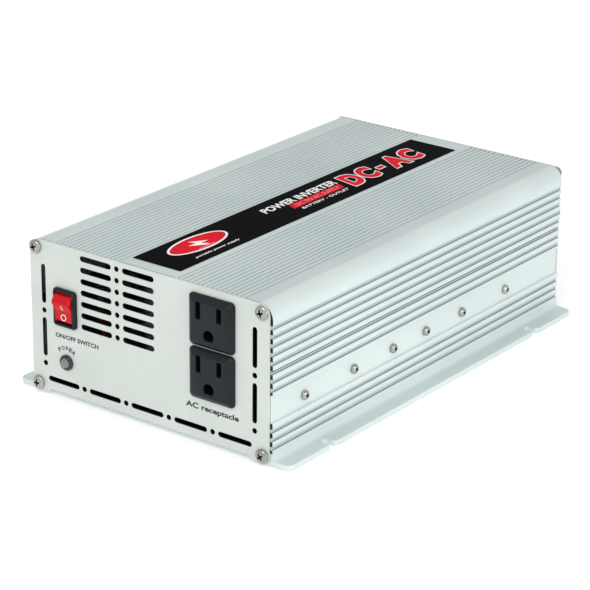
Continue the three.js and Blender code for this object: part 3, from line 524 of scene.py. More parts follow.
class Look:
    """Every finish on the inverter."""

    # Clear-anodised aluminium, drawn through a die: a satin grey that runs in long faint lines. It
    # carries painted shade on its ends, inside, in its grooves and on its roof flats.
    SHELL = ExtrusionWithPaintedShade("anodised extrusion", "DBE5E3", "C7D3D2", grain=(0.5, 60.0, 0.5),
                          drift=60.0, rough=(0.42, 0.56), lift=0.006, metallic=0.35)
    # The same alloy rolled, punched and bead-blasted: paler, even, with a very fine tooth.
    PLATE = Finish("blasted aluminium plate", "D2D8D3", "C6CDC8", grain=(0.35, 0.35, 0.35),
                   rough=(0.5, 0.62), lift=0.006, metallic=0.25)
    # Painted shade on the walls of the plates' holes, where they look into the dark of the case.
    HOLE_WALL_SHADE = Finish("painted hole wall shade", "26292A", "131516", grain=(0.2, 1.0, 0.2), rough=(0.6, 0.8))
    # Printed polyester film, second surface black: deep and glossy with a slight orange peel.
    FILM = Finish("black polyester film", "101013", "09090C", grain=(1.2, 1.2, 1.2), drift=30.0,
                  rough=(0.3, 0.4), lift=0.004, ior=1.03)
    WHITE_INK = Finish("white screen ink", "F4F4F2", "E4E4E4", rough=(0.4, 0.5))
    RED_INK = Finish("red screen ink", "E0142A", "CC0C20", grain=(0.3, 0.3, 0.3), rough=(0.38, 0.5),
                     ior=1.08)
    PINK_INK = Finish("pale red screen ink", "F4708A", "E0506C", rough=(0.38, 0.5))
    DARK_INK = Finish("dark screen ink", "23292C", "14181A", rough=(0.45, 0.6))
    # Slate-coloured ABS from a lightly spark-eroded mould: a soft sheen over a pebbled skin.
    SLATE = Finish("slate ABS", "1B2226", "12171A", grain=(0.45, 0.45, 0.45), rough=(0.34, 0.48),
                   lift=0.012, ior=1.3)
    # Polished red polycarbonate: saturated, very smooth, with a clear gloss.
    RED_GLOSS = Finish("red polycarbonate", "D0060E", "B4060E", grain=(2.5, 2.5, 2.5), drift=8.0,
                       rough=(0.14, 0.22), lift=0.004, ior=1.35)
    DARK_GLOSS = Finish("black glossy ABS", "1D2123", "121517", grain=(1.5, 1.5, 1.5),
                        rough=(0.16, 0.24), lift=0.004, coat=0.3)
    # Moulded acrylic, smoked grey and half clear.
    LENS = Finish("smoked acrylic lens", "B8C0C0", "8F9898", grain=(1.0, 1.0, 1.0),
                  rough=(0.05, 0.12), lift=0.003, ior=1.49, clear=0.55, coat=0.3)
    # Nickel-plated steel: bright, faintly yellow, with turning marks.
    NICKEL = Finish("nickel-plated steel", "C4C3BE", "8F8E8A", grain=(0.25, 0.25, 0.25),
                    rough=(0.22, 0.36), lift=0.006, metallic=1.0)
    # Painted shade: a dark tone laid in the screws' cross recesses and the outlets' holes.
    RECESS_SHADE = Finish("painted recess shade", "1C1D1E", "0E0F10", rough=(0.5, 0.7), metallic=0.6)
    CLAMP_STEEL = Finish("zinc-plated clamp steel", "A9AEB0", "8C9193", grain=(0.4, 12.0, 0.4),
                         rough=(0.4, 0.55), metallic=0.9)
    BLACK_PLASTIC = Finish("black glass-filled nylon", "24272A", "15171A",
                           grain=(0.5, 0.5, 0.5), rough=(0.42, 0.6), lift=0.015)
    RED_PLASTIC = Finish("red nylon", "C81A1E", "A81216", grain=(0.5, 0.5, 0.5),
                         rough=(0.36, 0.52), lift=0.012)
    BRASS = Finish("turned brass", "D6AE58", "B88E3C", grain=(0.3, 0.3, 0.3), rough=(0.24, 0.4),
                   metallic=1.0)
    # Solder mask over copper: a wet green with the tracks showing as paler lines.
    MASK = BandedFinish("green solder mask", "1F6B3C", "165230", grain=(6.0, 1.2, 6.0), drift=9.0,
                        rough=(0.2, 0.34), band="2C8650", pitch=5.0, axis="X", coat=0.3)
    FERRITE = Finish("sintered ferrite", "3B3A3C", "29282A", grain=(0.6, 0.6, 0.6),
                     rough=(0.55, 0.75), lift=0.03)
    TAPE = BandedFinish("yellow polyester tape", "E2B93C", "CFA42C", grain=(1.0, 1.0, 4.0),
                        rough=(0.25, 0.4), band="A87F1C", pitch=4.2, axis="Z", coat=0.2)
    SLEEVE = BandedFinish("capacitor sleeve", "25344E", "1A2740", grain=(0.8, 0.8, 6.0),
                          rough=(0.22, 0.34), band="A9B2BC", pitch=34.0, axis="X", coat=0.2)
    ENAMEL_WIRE = Finish("enamelled copper wire", "C4682C", "A5501E", grain=(0.4, 0.4, 0.4),
                         rough=(0.2, 0.32), metallic=0.85)
    FUSE = Finish("tinted fuse moulding", "D98A28", "C0741C", rough=(0.18, 0.3), clear=0.2)
    BRONZE = Finish("phosphor bronze contact", "C79A62", "A97C48", grain=(0.4, 6.0, 0.4),
                    rough=(0.25, 0.4), metallic=1.0)
    RED_WIRE = Finish("red wire covering", "C41A1C", "A61214", grain=(2.0, 0.6, 0.6),
                      rough=(0.35, 0.5))
    BLACK_WIRE = Finish("black wire covering", "202224", "131415", rough=(0.35, 0.5))
    GREEN_WIRE = Finish("green wire covering", "2D7A3C", "1F5F2C", rough=(0.35, 0.5))
    EPOXY = Finish("black moulding epoxy", "222324", "161718", grain=(0.3, 0.3, 0.3),
                   rough=(0.5, 0.7), lift=0.01)
    TIN = Finish("tinned solder", "C9CBCB", "A8ABAC", grain=(0.3, 0.3, 0.3), rough=(0.2, 0.35),
                 metallic=1.0)


# ---------------- drawing


def arc(x: float, y: float, radius: float, start: float, end: float, steps: int) -> Loop:
    """Gives points on an arc, with its angles in degrees."""
    angles = [math.radians(start + (end - start) * i / steps) for i in range(steps + 1)]
    return [(x + radius * math.cos(a), y + radius * math.sin(a)) for a in angles]


def rounded(x: float, y: float, width: float, height: float, radius: float, steps: int = 6) -> Loop:
    """Gives a rounded rectangle centred on x, y, going round anticlockwise.

    Args:
        x, y: Its middle.
        width, height: Its size.
        radius: Its corners' radius.
        steps: How many sides each corner has.

    Returns:
        Its points.
    """
    a, b = width / 2 - radius, height / 2 - radius
    corners = ((a, b, 0), (-a, b, 90), (-a, -b, 180), (a, -b, 270))
    return [p for cx, cy, turn in corners
            for p in arc(x + cx, y + cy, radius, turn, turn + 90, steps)]


def circle(x: float, y: float, radius: float, sides: int = 24) -> Loop:
    """Gives a circle's points."""
    return arc(x, y, radius, 0, 360 * (sides - 1) / sides, sides - 1)


class Form:
    """A closed mesh under construction, in millimetres."""

    def __init__(self) -> None:
        """Starts an empty form."""
        self.bm = bmesh.new()
        self.marked = self.bm.faces.layers.bool.new("marked")

    def ring(self, points: Iterable[Point]) -> list[bmesh.types.BMVert]:
        """Adds a ring of points."""
        return [self.bm.verts.new(p) for p in points]

    def bridge(self, first: list, second: list, mark: bool = False) -> None:
        """Joins two rings of the same count with a band of faces."""
        count = len(first)
        for i in range(count):
            j = (i + 1) % count
            face = self.bm.faces.new((first[i], first[j], second[j], second[i]))
            face[self.marked] = mark

    def lid(self, outline: list, holes: Sequence[list] = (), mark: bool = False) -> None:
        """Closes a ring with a flat lid that may have holes."""
        verts = [v for ring in (outline, *holes) for v in ring]
        for triple in tessellate_polygon([[v.co for v in ring] for ring in (outline, *holes)]):
            face = self.bm.faces.new([verts[i] for i in triple])
            face[self.marked] = mark

    def turned(self, profile: Loop, sides: int = 32, place: Matrix | None = None) -> None:
        """Turns a profile of (radius, height) round Z. It starts and ends on the axis.

        Args:
            profile: The points, from one end of the axis to the other.
            sides: How many sides the turning has.
            place: Where the turning goes.
        """
        before = set(self.bm.verts)
        poles = [self.bm.verts.new((0, 0, profile[i][1])) for i in (0, -1)]
        rings = [self.ring((x, y, z) for x, y in circle(0, 0, r, sides)) for r, z in profile[1:-1]]
        for pole, ring in zip(poles, (rings[0], rings[-1])):
            for i in range(sides):
                self.bm.faces.new((pole, ring[i], ring[(i + 1) % sides]))
        for first, second in zip(rings, rings[1:]):
            self.bridge(first, second)
        self.move(before, place)

    def lofted(self, rings: Sequence[Sequence[Point]], place: Matrix | None = None,
               holes: Sequence[Sequence[Point]] = (), depth: Point = (0, 0, 0)) -> None:
        """Joins rings of points in order, with flat lids, and sinks holes into the first lid.

        Args:
            rings: The rings, all of one count.
            place: Where the loft goes.
            holes: Hole outlines in the first lid.
            depth: How far the holes go in, as a vector.
        """
        before = set(self.bm.verts)
        made = [self.ring(points) for points in rings]
        mouths = [self.ring(points) for points in holes]
        self.lid(made[0], mouths)
        for mouth in mouths:
            bottom = self.ring(v.co + Vector(depth) for v in mouth)
            self.bridge(mouth, bottom, mark=True)
            self.lid(bottom, mark=True)
        for first, second in zip(made, made[1:]):
            self.bridge(first, second)
        self.lid(made[-1])
        self.move(before, place)

    def looped(self, rings: Sequence[Sequence[Point]]) -> None:
        """Joins rings of points in order, and the last one to the first."""
        made = [self.ring(points) for points in rings]
        for first, second in zip(made, made[1:] + made[:1]):
            self.bridge(first, second)

    def block(self, low: Point, high: Point, ease: float = 0.3) -> None:
        """Adds a block with its upright corners rounded and its top eased.

        Args:
            low: Its lowest corner.
            high: Its highest corner.
            ease: How far it is rounded.
        """
        x, y = (low[0] + high[0]) / 2, (low[1] + high[1]) / 2
        w, d = high[0] - low[0], high[1] - low[1]
        big = rounded(x, y, w, d, ease, 2)
        small = rounded(x, y, w - ease, d - ease, ease / 2, 2)
        self.lofted([[(a, b, z) for a, b in ring] for ring, z in (
            (big, low[2]), (big, high[2] - ease / 2), (small, high[2]))])

    def add(self, mesh: Mesh, place: Matrix | None = None) -> None:
        """Adds a mesh, which is used up."""
        before = set(self.bm.verts)
        self.bm.from_mesh(mesh)
        bpy.data.meshes.remove(mesh)
        self.move(before, place)

    def move(self, before: set, place: Matrix | None) -> None:
        """Moves everything added since a set of points was noted."""
        if place is not None:
            fresh = [v for v in self.bm.verts if v not in before]
            bmesh.ops.transform(self.bm, matrix=place, verts=fresh)

    def ease(self, width: float, segments: int = 2, angle: float = 30.0) -> None:
        """Rounds every edge sharper than an angle.

        Args:
            width: How far an edge is cut back.
            segments: How many faces each round has.
            angle: The angle, in degrees.
        """
        bmesh.ops.remove_doubles(self.bm, verts=self.bm.verts, dist=WELD)
        bmesh.ops.dissolve_limit(self.bm, angle_limit=math.radians(1), verts=self.bm.verts,
                                 edges=self.bm.edges)
        sharp = [e for e in self.bm.edges
                 if len(e.link_faces) == 2 and e.calc_face_angle(0) > math.radians(angle)]
        bmesh.ops.bevel(self.bm, geom=sharp, offset=width, segments=segments, profile=0.5,
                        affect="EDGES", clamp_overlap=True)

    def mesh(self, name: str = "form") -> Mesh:
        """Ends the form: doubles merged, faces turned outwards."""
        bmesh.ops.remove_doubles(self.bm, verts=self.bm.verts, dist=WELD)
        bmesh.ops.recalc_face_normals(self.bm, faces=self.bm.faces)
        mesh = bpy.data.meshes.new(name)
        self.bm.to_mesh(mesh)
        self.bm.free()
        return mesh


class Facing(Enum):
    """Ways that a piece drawn along +Z can look, each as turns about X, Y and Z."""

    FRONT = (math.pi / 2, 0.0, 0.0)
    REAR = (-math.pi / 2, 0.0, 0.0)
    RIGHT = (0.0, math.pi / 2, 0.0)
    LEFT = (0.0, -math.pi / 2, 0.0)
    UP = (0.0, 0.0, 0.0)

    def at(self, x: float, y: float, z: float) -> Matrix:
        """Gives the matrix that turns a piece this way and puts it at a point."""
        turn = Matrix.Rotation(self.value[0], 4, "X") @ Matrix.Rotation(self.value[1], 4, "Y")
        return Matrix.Translation((x, y, z)) @ turn


class Workshop:
    """Turns drawings in the case's frame into finished pieces in the row frame."""

    def __init__(self, frame: dict[str, Any]) -> None:
        """Keeps the frame's nodes and its origin, and builds the geometry trees.
        """
        self.nodes = frame["nodes"]
        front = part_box("front_plate")[0].y
        self.to_row = Matrix.Translation((0, front, 0)) @ Matrix.Scale(MM, 4)
        self.from_row = self.to_row.inverted()
        self.extrusion = ExtrusionTree()
        self.repeat = RepeatTree()
        self.ring = RingTree()
        self.wire_tree = WireTree()
        self.thread = ThreadTree()
        self.repeats = 0

    def span(self, node: str) -> tuple[Vector, Vector]:
        """Gives a CAD node's lowest and highest corners in the case's frame."""
        low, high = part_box(node)
        return self.from_row @ Vector(low), self.from_row @ Vector(high)

    def middle(self, node: str) -> Vector:
        """Gives the middle of a CAD node's box in the case's frame."""
        low, high = self.span(node)
        return (low + high) / 2

    def seat(self, node: str) -> tuple[float, float, float, float]:
        """Gives a CAD node's middle in X and Z, and its front and back in Y."""
        low, high = self.span(node)
        return (low.x + high.x) / 2, (low.z + high.z) / 2, low.y, high.y

    def section(self, node: str, at: float, axis: int = 1) -> list[Loop]:
        """Cuts a CAD node with a plane and gives the outlines on the cut.

        Args:
            node: The node's name.
            at: The plane's place on its axis, in millimetres.
            axis: 0 for a plane across X, 1 across Y.

        Returns:
            Closed loops, as (X, Z) pairs for a plane across Y and (Y, Z) pairs across X.
        """
        bm = bmesh.new()
        bm.from_mesh(self.nodes[node].data)
        bm.transform(self.from_row)
        bmesh.ops.remove_doubles(bm, verts=bm.verts, dist=0.0005)
        point, normal = [0.0, 0.0, 0.0], [0.0, 0.0, 0.0]
        point[axis], normal[axis] = at, 1.0
        found = bmesh.ops.bisect_plane(bm, geom=[*bm.verts, *bm.edges, *bm.faces], dist=0.0001,
                                       plane_co=point, plane_no=normal)["geom_cut"]
        near: dict[bmesh.types.BMVert, list[bmesh.types.BMVert]] = {}
        for edge in (e for e in found if isinstance(e, bmesh.types.BMEdge)):
            a, b = edge.verts
            near.setdefault(a, []).append(b)
            near.setdefault(b, []).append(a)
        loops, seen = [], set()
        for start in near:
            if start in seen:
                continue
            walk, step = [], start
            while step is not None:
                seen.add(step)
                walk.append((step.co[1 - axis], step.co.z))
                step = next((v for v in near[step] if v not in seen), None)
            loops.append(self.straightened(walk))
        bm.free()
        return loops

    def straightened(self, loop: Loop, apart: float = 0.004, turn: float = 0.6) -> Loop:
        """Leaves out the points of a loop that lie on a straight run or on each other.

        Args:
            loop: The loop's points.
            apart: The shortest side that is kept, in millimetres.
            turn: The smallest turn that makes a corner, in degrees.

        Returns:
            The loop's corners.
        """
        kept, count = [], len(loop)
        for i, here in enumerate(loop):
            before = Vector(here) - Vector(loop[i - 1])
            after = Vector(loop[(i + 1) % count]) - Vector(here)
            if min(before.length, after.length) < apart:
                corner = after.length >= apart
            else:
                corner = abs(before.angle_signed(after, 0)) > math.radians(turn)
            if corner:
                kept.append(here)
        return kept

    def prism(self, loops: Sequence[Loop], start: float, length: float, look: Finish,
              radius: float = 0.0, axis: int = 1) -> Mesh:
        """Extrudes loops along an axis.

        Args:
            loops: Closed outlines. Those inside another are holes.
            start: Where the prism starts on the axis.
            length: How long it is.
            look: Its finish.
            radius: How far its corners are eased.
            axis: 0 to run along X from (Y, Z) loops, 1 along Y from (X, Z), 2 along Z from (X, Y).

        Returns:
            The prism's mesh, closed.
        """
        points = [(u, v, 0.0) for loop in loops for u, v in loop]
        edges, base = [], 0
        for loop in loops:
            count = len(loop)
            edges += [(base + i, base + (i + 1) % count) for i in range(count)]
            base += count
        drawing = bpy.data.meshes.new("profile")
        drawing.from_pydata(points, edges, [])
        mesh = self.extrusion.run(drawing, {
            "Length": length, "Corner radius": radius, "Finish": look.material()})
        turns = {
            0: Matrix(((0, 0, -1, start), (1, 0, 0, 0), (0, 1, 0, 0), (0, 0, 0, 1))),
            1: Matrix(((1, 0, 0, 0), (0, 0, -1, start), (0, 1, 0, 0), (0, 0, 0, 1))),
            2: Matrix(((1, 0, 0, 0), (0, 1, 0, 0), (0, 0, -1, start), (0, 0, 0, 1)))}
        mesh.transform(turns[axis])
        return mesh

    def repeated(self, piece: Mesh, places: Sequence[tuple[Point, Facing]], look: Finish,
                 marked: Finish | None = None, spin: float = 0.0) -> Mesh:
        """Sets a piece at each place with the repeat tree.

        Args:
            piece: The piece's mesh, drawn along +Z from its seat. It is used up.
            places: A point and a facing for each copy.
            look: The finish of the whole piece.
            marked: The finish of its marked faces.
            spin: The widest random turn about the piece's own axis, in radians.

        Returns:
            All the copies as one mesh.
        """
        points = bpy.data.meshes.new("places")
        points.from_pydata([tuple(point) for point, _ in places], [], [])
        turns = points.attributes.new("turn", "FLOAT_VECTOR", "POINT")
        turns.data.foreach_set("vector", [a for _, facing in places for a in facing.value])
        holder = stand("repeated", piece)
        self.repeats += 1
        mesh = self.repeat.run(points, {
            "Piece": holder, "Spin": spin, "Seed": self.repeats, "Finish": look.material(),
            "Marked finish": (marked or look).material()})
        bpy.data.objects.remove(holder)
        return mesh

    def ringed(self, piece: Mesh, hub: Mesh, count: int, radius: float,
               look: Finish) -> Mesh:
        """Sets a piece round a hub with the ring tree. Both meshes are used up.

        Args:
            piece: The piece, drawn to stand outwards along X.
            hub: What the ring joins.
            count: How many there are.
            radius: The ring's radius.
            look: Their finish.

        Returns:
            The hub and the ring as one mesh.
        """
        holder = stand("ringed", piece)
        mesh = self.ring.run(hub, {"Piece": holder, "Count": count, "Radius": radius,
                                   "Finish": look.material()})
        bpy.data.objects.remove(holder)
        return mesh

    def wire(self, path: Sequence[Point], radius: float, look: Finish,
             closed: bool = False, sides: int = 8) -> Mesh:
        """Runs a wire along a path.

        Args:
            path: The points that it follows.
            radius: The wire's radius.
            look: Its finish.
            closed: Whether the last point joins the first.
            sides: How many sides the wire has.

        Returns:
            The wire's mesh.
        """
        drawing = bpy.data.meshes.new("path")
        count = len(path)
        edges = [(i, (i + 1) % count) for i in range(count if closed else count - 1)]
        drawing.from_pydata([tuple(p) for p in path], edges, [])
        return self.wire_tree.run(drawing, {"Radius": radius, "Sides": sides,
                                            "Finish": look.material()})

    def carved(self, body: Mesh, cutter: Mesh) -> Mesh:
        """Cuts one closed mesh out of another. Both are used up.

        Args:
            body: The mesh that is cut.
            cutter: What it loses.

        Returns:
            What is left.
        """
        pair = [stand("carved", mesh) for mesh in (body, cutter)]
        cut = pair[0].modifiers.new("cut", "BOOLEAN")
        cut.object, cut.operation, cut.solver = pair[1], "DIFFERENCE", "EXACT"
        ready = pair[0].evaluated_get(bpy.context.evaluated_depsgraph_get())
        mesh = bpy.data.meshes.new_from_object(ready)
        for holder in pair:
            bpy.data.objects.remove(holder)
        return mesh

    def lettering(self, words: str, width: float, height: float, weight: float = 0.0,
                  slant: float = 0.0, thickness: float = 0.04) -> Mesh:
        """Makes flat lettering that fills a box centred on the origin, in XY.

        Args:
            words: What it says.
            width: The box's width.
            height: The box's height.
            weight: How much bolder than plain it is, as a share of its size.
            slant: How far it leans.
            thickness: How thick the ink is.

        Returns:
            The lettering as a mesh, from Z 0 up.
        """
        curve = bpy.data.curves.new("lettering", "FONT")
        curve.body, curve.size, curve.shear, curve.offset = words, 1.0, slant, weight
        curve.extrude, curve.resolution_u = 0.05, 3
        holder = stand("lettering", curve)
        ready = holder.evaluated_get(bpy.context.evaluated_depsgraph_get())
        mesh = bpy.data.meshes.new_from_object(ready)
        bpy.data.objects.remove(holder)
        low = Vector([min(v.co[i] for v in mesh.vertices) for i in range(3)])
        high = Vector([max(v.co[i] for v in mesh.vertices) for i in range(3)])
        size = high - low
        centre = (low + high) / 2
        mesh.transform(Matrix.Translation((-centre.x, -centre.y, -low.z)))
        mesh.transform(Matrix.Diagonal((width / size.x, height / size.y, thickness / size.z, 1)))
        return mesh

    def piece(self, mesh: Mesh, name: str, body: str, slot: str,
              looks: Sequence[Finish] = (), replaces: Sequence[str] = (),
              sharp: float = 38.0) -> bpy.types.Object:
        """Moves a mesh to the row frame and makes it a finished piece of the object.

        Args:
            mesh: The shape, in the case's frame.
            name: The piece's name.
            body: The CAD body that it rides on.
            slot: The record's material slot; not used.
            looks: The finishes of its faces, or none to keep what the mesh has.
            replaces: The CAD nodes that it stands for.
            sharp: The angle, in degrees, over which an edge stays sharp.

        Returns:
            The piece's object.
        """
        mesh.transform(self.to_row)
        mesh.shade_smooth()
        mesh.set_sharp_from_angle(angle=math.radians(sharp))
        if looks:
            indices = [p.material_index for p in mesh.polygons]
            mesh.materials.clear()
            for look in looks:
                mesh.materials.append(look.material())
            for polygon, index in zip(mesh.polygons, indices):
                polygon.material_index = min(index, len(looks) - 1)
        mesh.name = name
        thing = stand(name, mesh)
        if replaces:
            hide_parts(*replaces)
        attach(thing, body)
        LOG.info("%s rides on %s: %d faces", name, body, len(mesh.polygons))
        return thing

    def dress(self, look: Finish, *names: str) -> None:
        """Gives CAD nodes a finish on their own material slots."""
        for name in names:
            for slot in self.nodes[name].material_slots:
                slot.material = look.material()
            LOG.info("%s dressed in %s", name, look.name)

    def marks_to_slots(self, mesh: Mesh) -> Mesh:
        """Gives the marked faces of a form the second material slot.

        Args:
            mesh: The form's mesh.

        Returns:
            The same mesh.
        """
        marks = mesh.attributes.get("marked")
        if marks:
            flags = [item.value for item in marks.data]
            for polygon, flag in zip(mesh.polygons, flags):
                polygon.material_index = int(flag)
        return mesh


# ---------------- the case


@dataclass
class CaseShells:
    """The finned base with its flanges, and the grooved cover."""

    shop: Workshop
    front: float = 1.3
    length: float = 254.0
    section_at: float = 16.0
    tip_radius: float = 0.32
    flange_half: float = 86.5
    flange_cut: tuple[float, float] = (-1.0, 7.0)
    slot_width: float = 5.0
    slot_depth: float = 6.5
    slot_flare: float = 3.0
    slot_places: tuple[float, float] = (34.2, 216.3)
    corner: float = 4.0
    clamp_height: float = 27.8
    clamp_hole: float = 1.8
    drill_reach: float = 79.0

    def slot_cutter(self, side: int, y: float) -> Loop:
        """Draws one flange slot, seen from above, with its flared mouth.

        Args:
            side: 1 on the right, -1 on the left.
            y: The middle of the slot.

        Returns:
            Its outline.
        """
        edge, half, flare = self.flange_half, self.slot_width / 2, self.slot_flare
        points = [(edge + 1, y - half), *arc(edge - self.slot_depth + half, y, half, 270, 90, 10),
                  *arc(edge - flare, y + half + flare, flare, -90, 0, 6),
                  (edge + 1, y + half + flare)]
        return [(side * x, v) for x, v in points]

    def corner_cutter(self, side: int, end: int) -> Loop:
        """Draws what one flange corner loses, seen from above."""
        edge, r = self.flange_half, self.corner
        y = self.front if end < 0 else self.front + self.length
        points = [(edge + 1, r), *arc(edge - r, r, r, 0, -90, 6), (edge - r, -1), (edge + 1, -1)]
        return [(side * x, y - end * v) for x, v in points]

    def cutters(self) -> Mesh:
        """Gathers the slots, the corners and the clamp screw holes in one mesh.

        Returns:
            Their mesh.
        """
        form = Form()
        plans = [self.slot_cutter(s, self.front + y) for s in (-1, 1) for y in self.slot_places]
        plans += [self.corner_cutter(s, e) for s in (-1, 1) for e in (-1, 1)]
        for plan in plans:
            form.add(self.shop.prism([plan], *self.flange_cut, Look.SHELL, axis=2))
        for i in range(1, 7):
            y = self.shop.middle(f"right_clamp_screw_{i}").y
            hole = circle(y, self.clamp_height, self.clamp_hole, 16)
            form.add(self.shop.prism([hole], -self.drill_reach, 2 * self.drill_reach, Look.SHELL,
                                     axis=0))
        return form.mesh()

    def build(self) -> None:
        """Makes both shells, the base with its slots, corners and screw holes cut."""
        shop = self.shop
        for node, name in (("base_extrusion", "finned_base"), ("top_cover", "grooved_cover")):
            loops = shop.section(node, self.front + self.section_at)
            shell = self.solid(shop.prism(loops, self.front, self.length, Look.SHELL,
                                          self.tip_radius))
            if node == "base_extrusion":
                shell = self.solid(shop.carved(shell, self.cutters()))
            shop.piece(shell, name, "case", "anodised_aluminium", [Look.SHELL], [node])

    def solid(self, mesh: Mesh) -> Mesh:
        """Merges a mesh's doubles and turns its faces outwards."""
        form = Form()
        form.add(mesh)
        return form.mesh()


@dataclass
class EndPlates:
    """The punched front and rear plates and what is printed on them.

    A caption is its words, the middle of its box across and up, and the box's width and height.
    """

    shop: Workshop
    thickness: float = 1.0
    ink: float = 0.05
    weight: float = 0.03
    captions: tuple[tuple[str, float, float, float, float], ...] = (
        ("ON/OFF SWITCH", -45.3, 33.7, 28.3, 2.4), ("AC receptacle", 40.8, 19.2, 32.5, 3.9))
    arch_radius: float = 7.6
    arch_letter: tuple[float, float] = (1.9, 2.3)
    arch_turns: tuple[int, ...] = (38, 19, 0, -19, -38)
    sign_width: float = 5.0
    sign_weight: float = 0.01
    sign_rise: float = 15.0

    def plate(self, node: str, name: str) -> None:
        """Makes one plate, with painted shade on the walls of its holes.

        Args:
            node: The CAD node that it stands for.
            name: The piece's name.
        """
        shop = self.shop
        low, high = shop.span(node)
        loops = shop.section(node, (low.y + high.y) / 2)
        outer = max(loops, key=lambda loop: max(x for x, _ in loop) - min(x for x, _ in loop))
        holes = {(round(x, 1), round(z, 1)) for loop in loops if loop is not outer for x, z in loop}
        form = Form()
        form.add(shop.prism(loops, low.y, self.thickness, Look.PLATE))
        mesh = form.mesh()
        # The hole walls take the painted shade.
        for polygon in mesh.polygons:
            corners = [mesh.vertices[i].co for i in polygon.vertices]
            inner = all((round(c.x, 1), round(c.z, 1)) in holes for c in corners)
            polygon.material_index = int(inner and abs(polygon.normal.y) < 0.5)
        shop.piece(mesh, name, "case", "plate_aluminium", [Look.PLATE, Look.HOLE_WALL_SHADE], [node])

    def words(self, text: str, x: float, z: float, width: float, height: float,
              turn: float = 0.0) -> Mesh:
        """Prints words on the front plate, turned about their middle."""
        mesh = self.shop.lettering(text, width, height, self.weight, thickness=self.ink)
        mesh.transform(Matrix.Rotation(turn, 4, "Z"))
        mesh.transform(Matrix(((1, 0, 0, x), (0, 0, -1, 0), (0, 1, 0, z), (0, 0, 0, 1))))
        return mesh

    def build(self) -> None:
        """Makes the plates and their print."""
        shop = self.shop
        self.plate("front_plate", "punched_front_plate")
        self.plate("rear_plate", "punched_rear_plate")
        lamp = shop.middle("lamp_bezel")
        front = Form()
        for caption in self.captions:
            front.add(self.words(*caption))
        for letter, degrees in zip("POWER", self.arch_turns):
            a = math.radians(degrees)
            x, z = lamp.x - self.arch_radius * math.sin(a), lamp.z + self.arch_radius * math.cos(a)
            front.add(self.words(letter, x, z, *self.arch_letter, a))
        shop.piece(front.mesh(), "front_lettering", "case", "print_dark", [Look.DARK_INK])
        rear = Form()
        face = shop.span("rear_plate")[1].y
        for node, sign, tall in (("positive_stud", "+", 5.0), ("negative_stud", "-", 1.2)):
            place = shop.middle(node)
            mesh = shop.lettering(sign, self.sign_width, tall, self.sign_weight, thickness=self.ink)
            mesh.transform(Matrix(((-1, 0, 0, place.x), (0, 0, 1, face),
                                   (0, 1, 0, place.z + self.sign_rise), (0, 0, 0, 1))))
            rear.add(mesh)
        shop.piece(rear.mesh(), "rear_symbols", "case", "print_dark", [Look.DARK_INK])


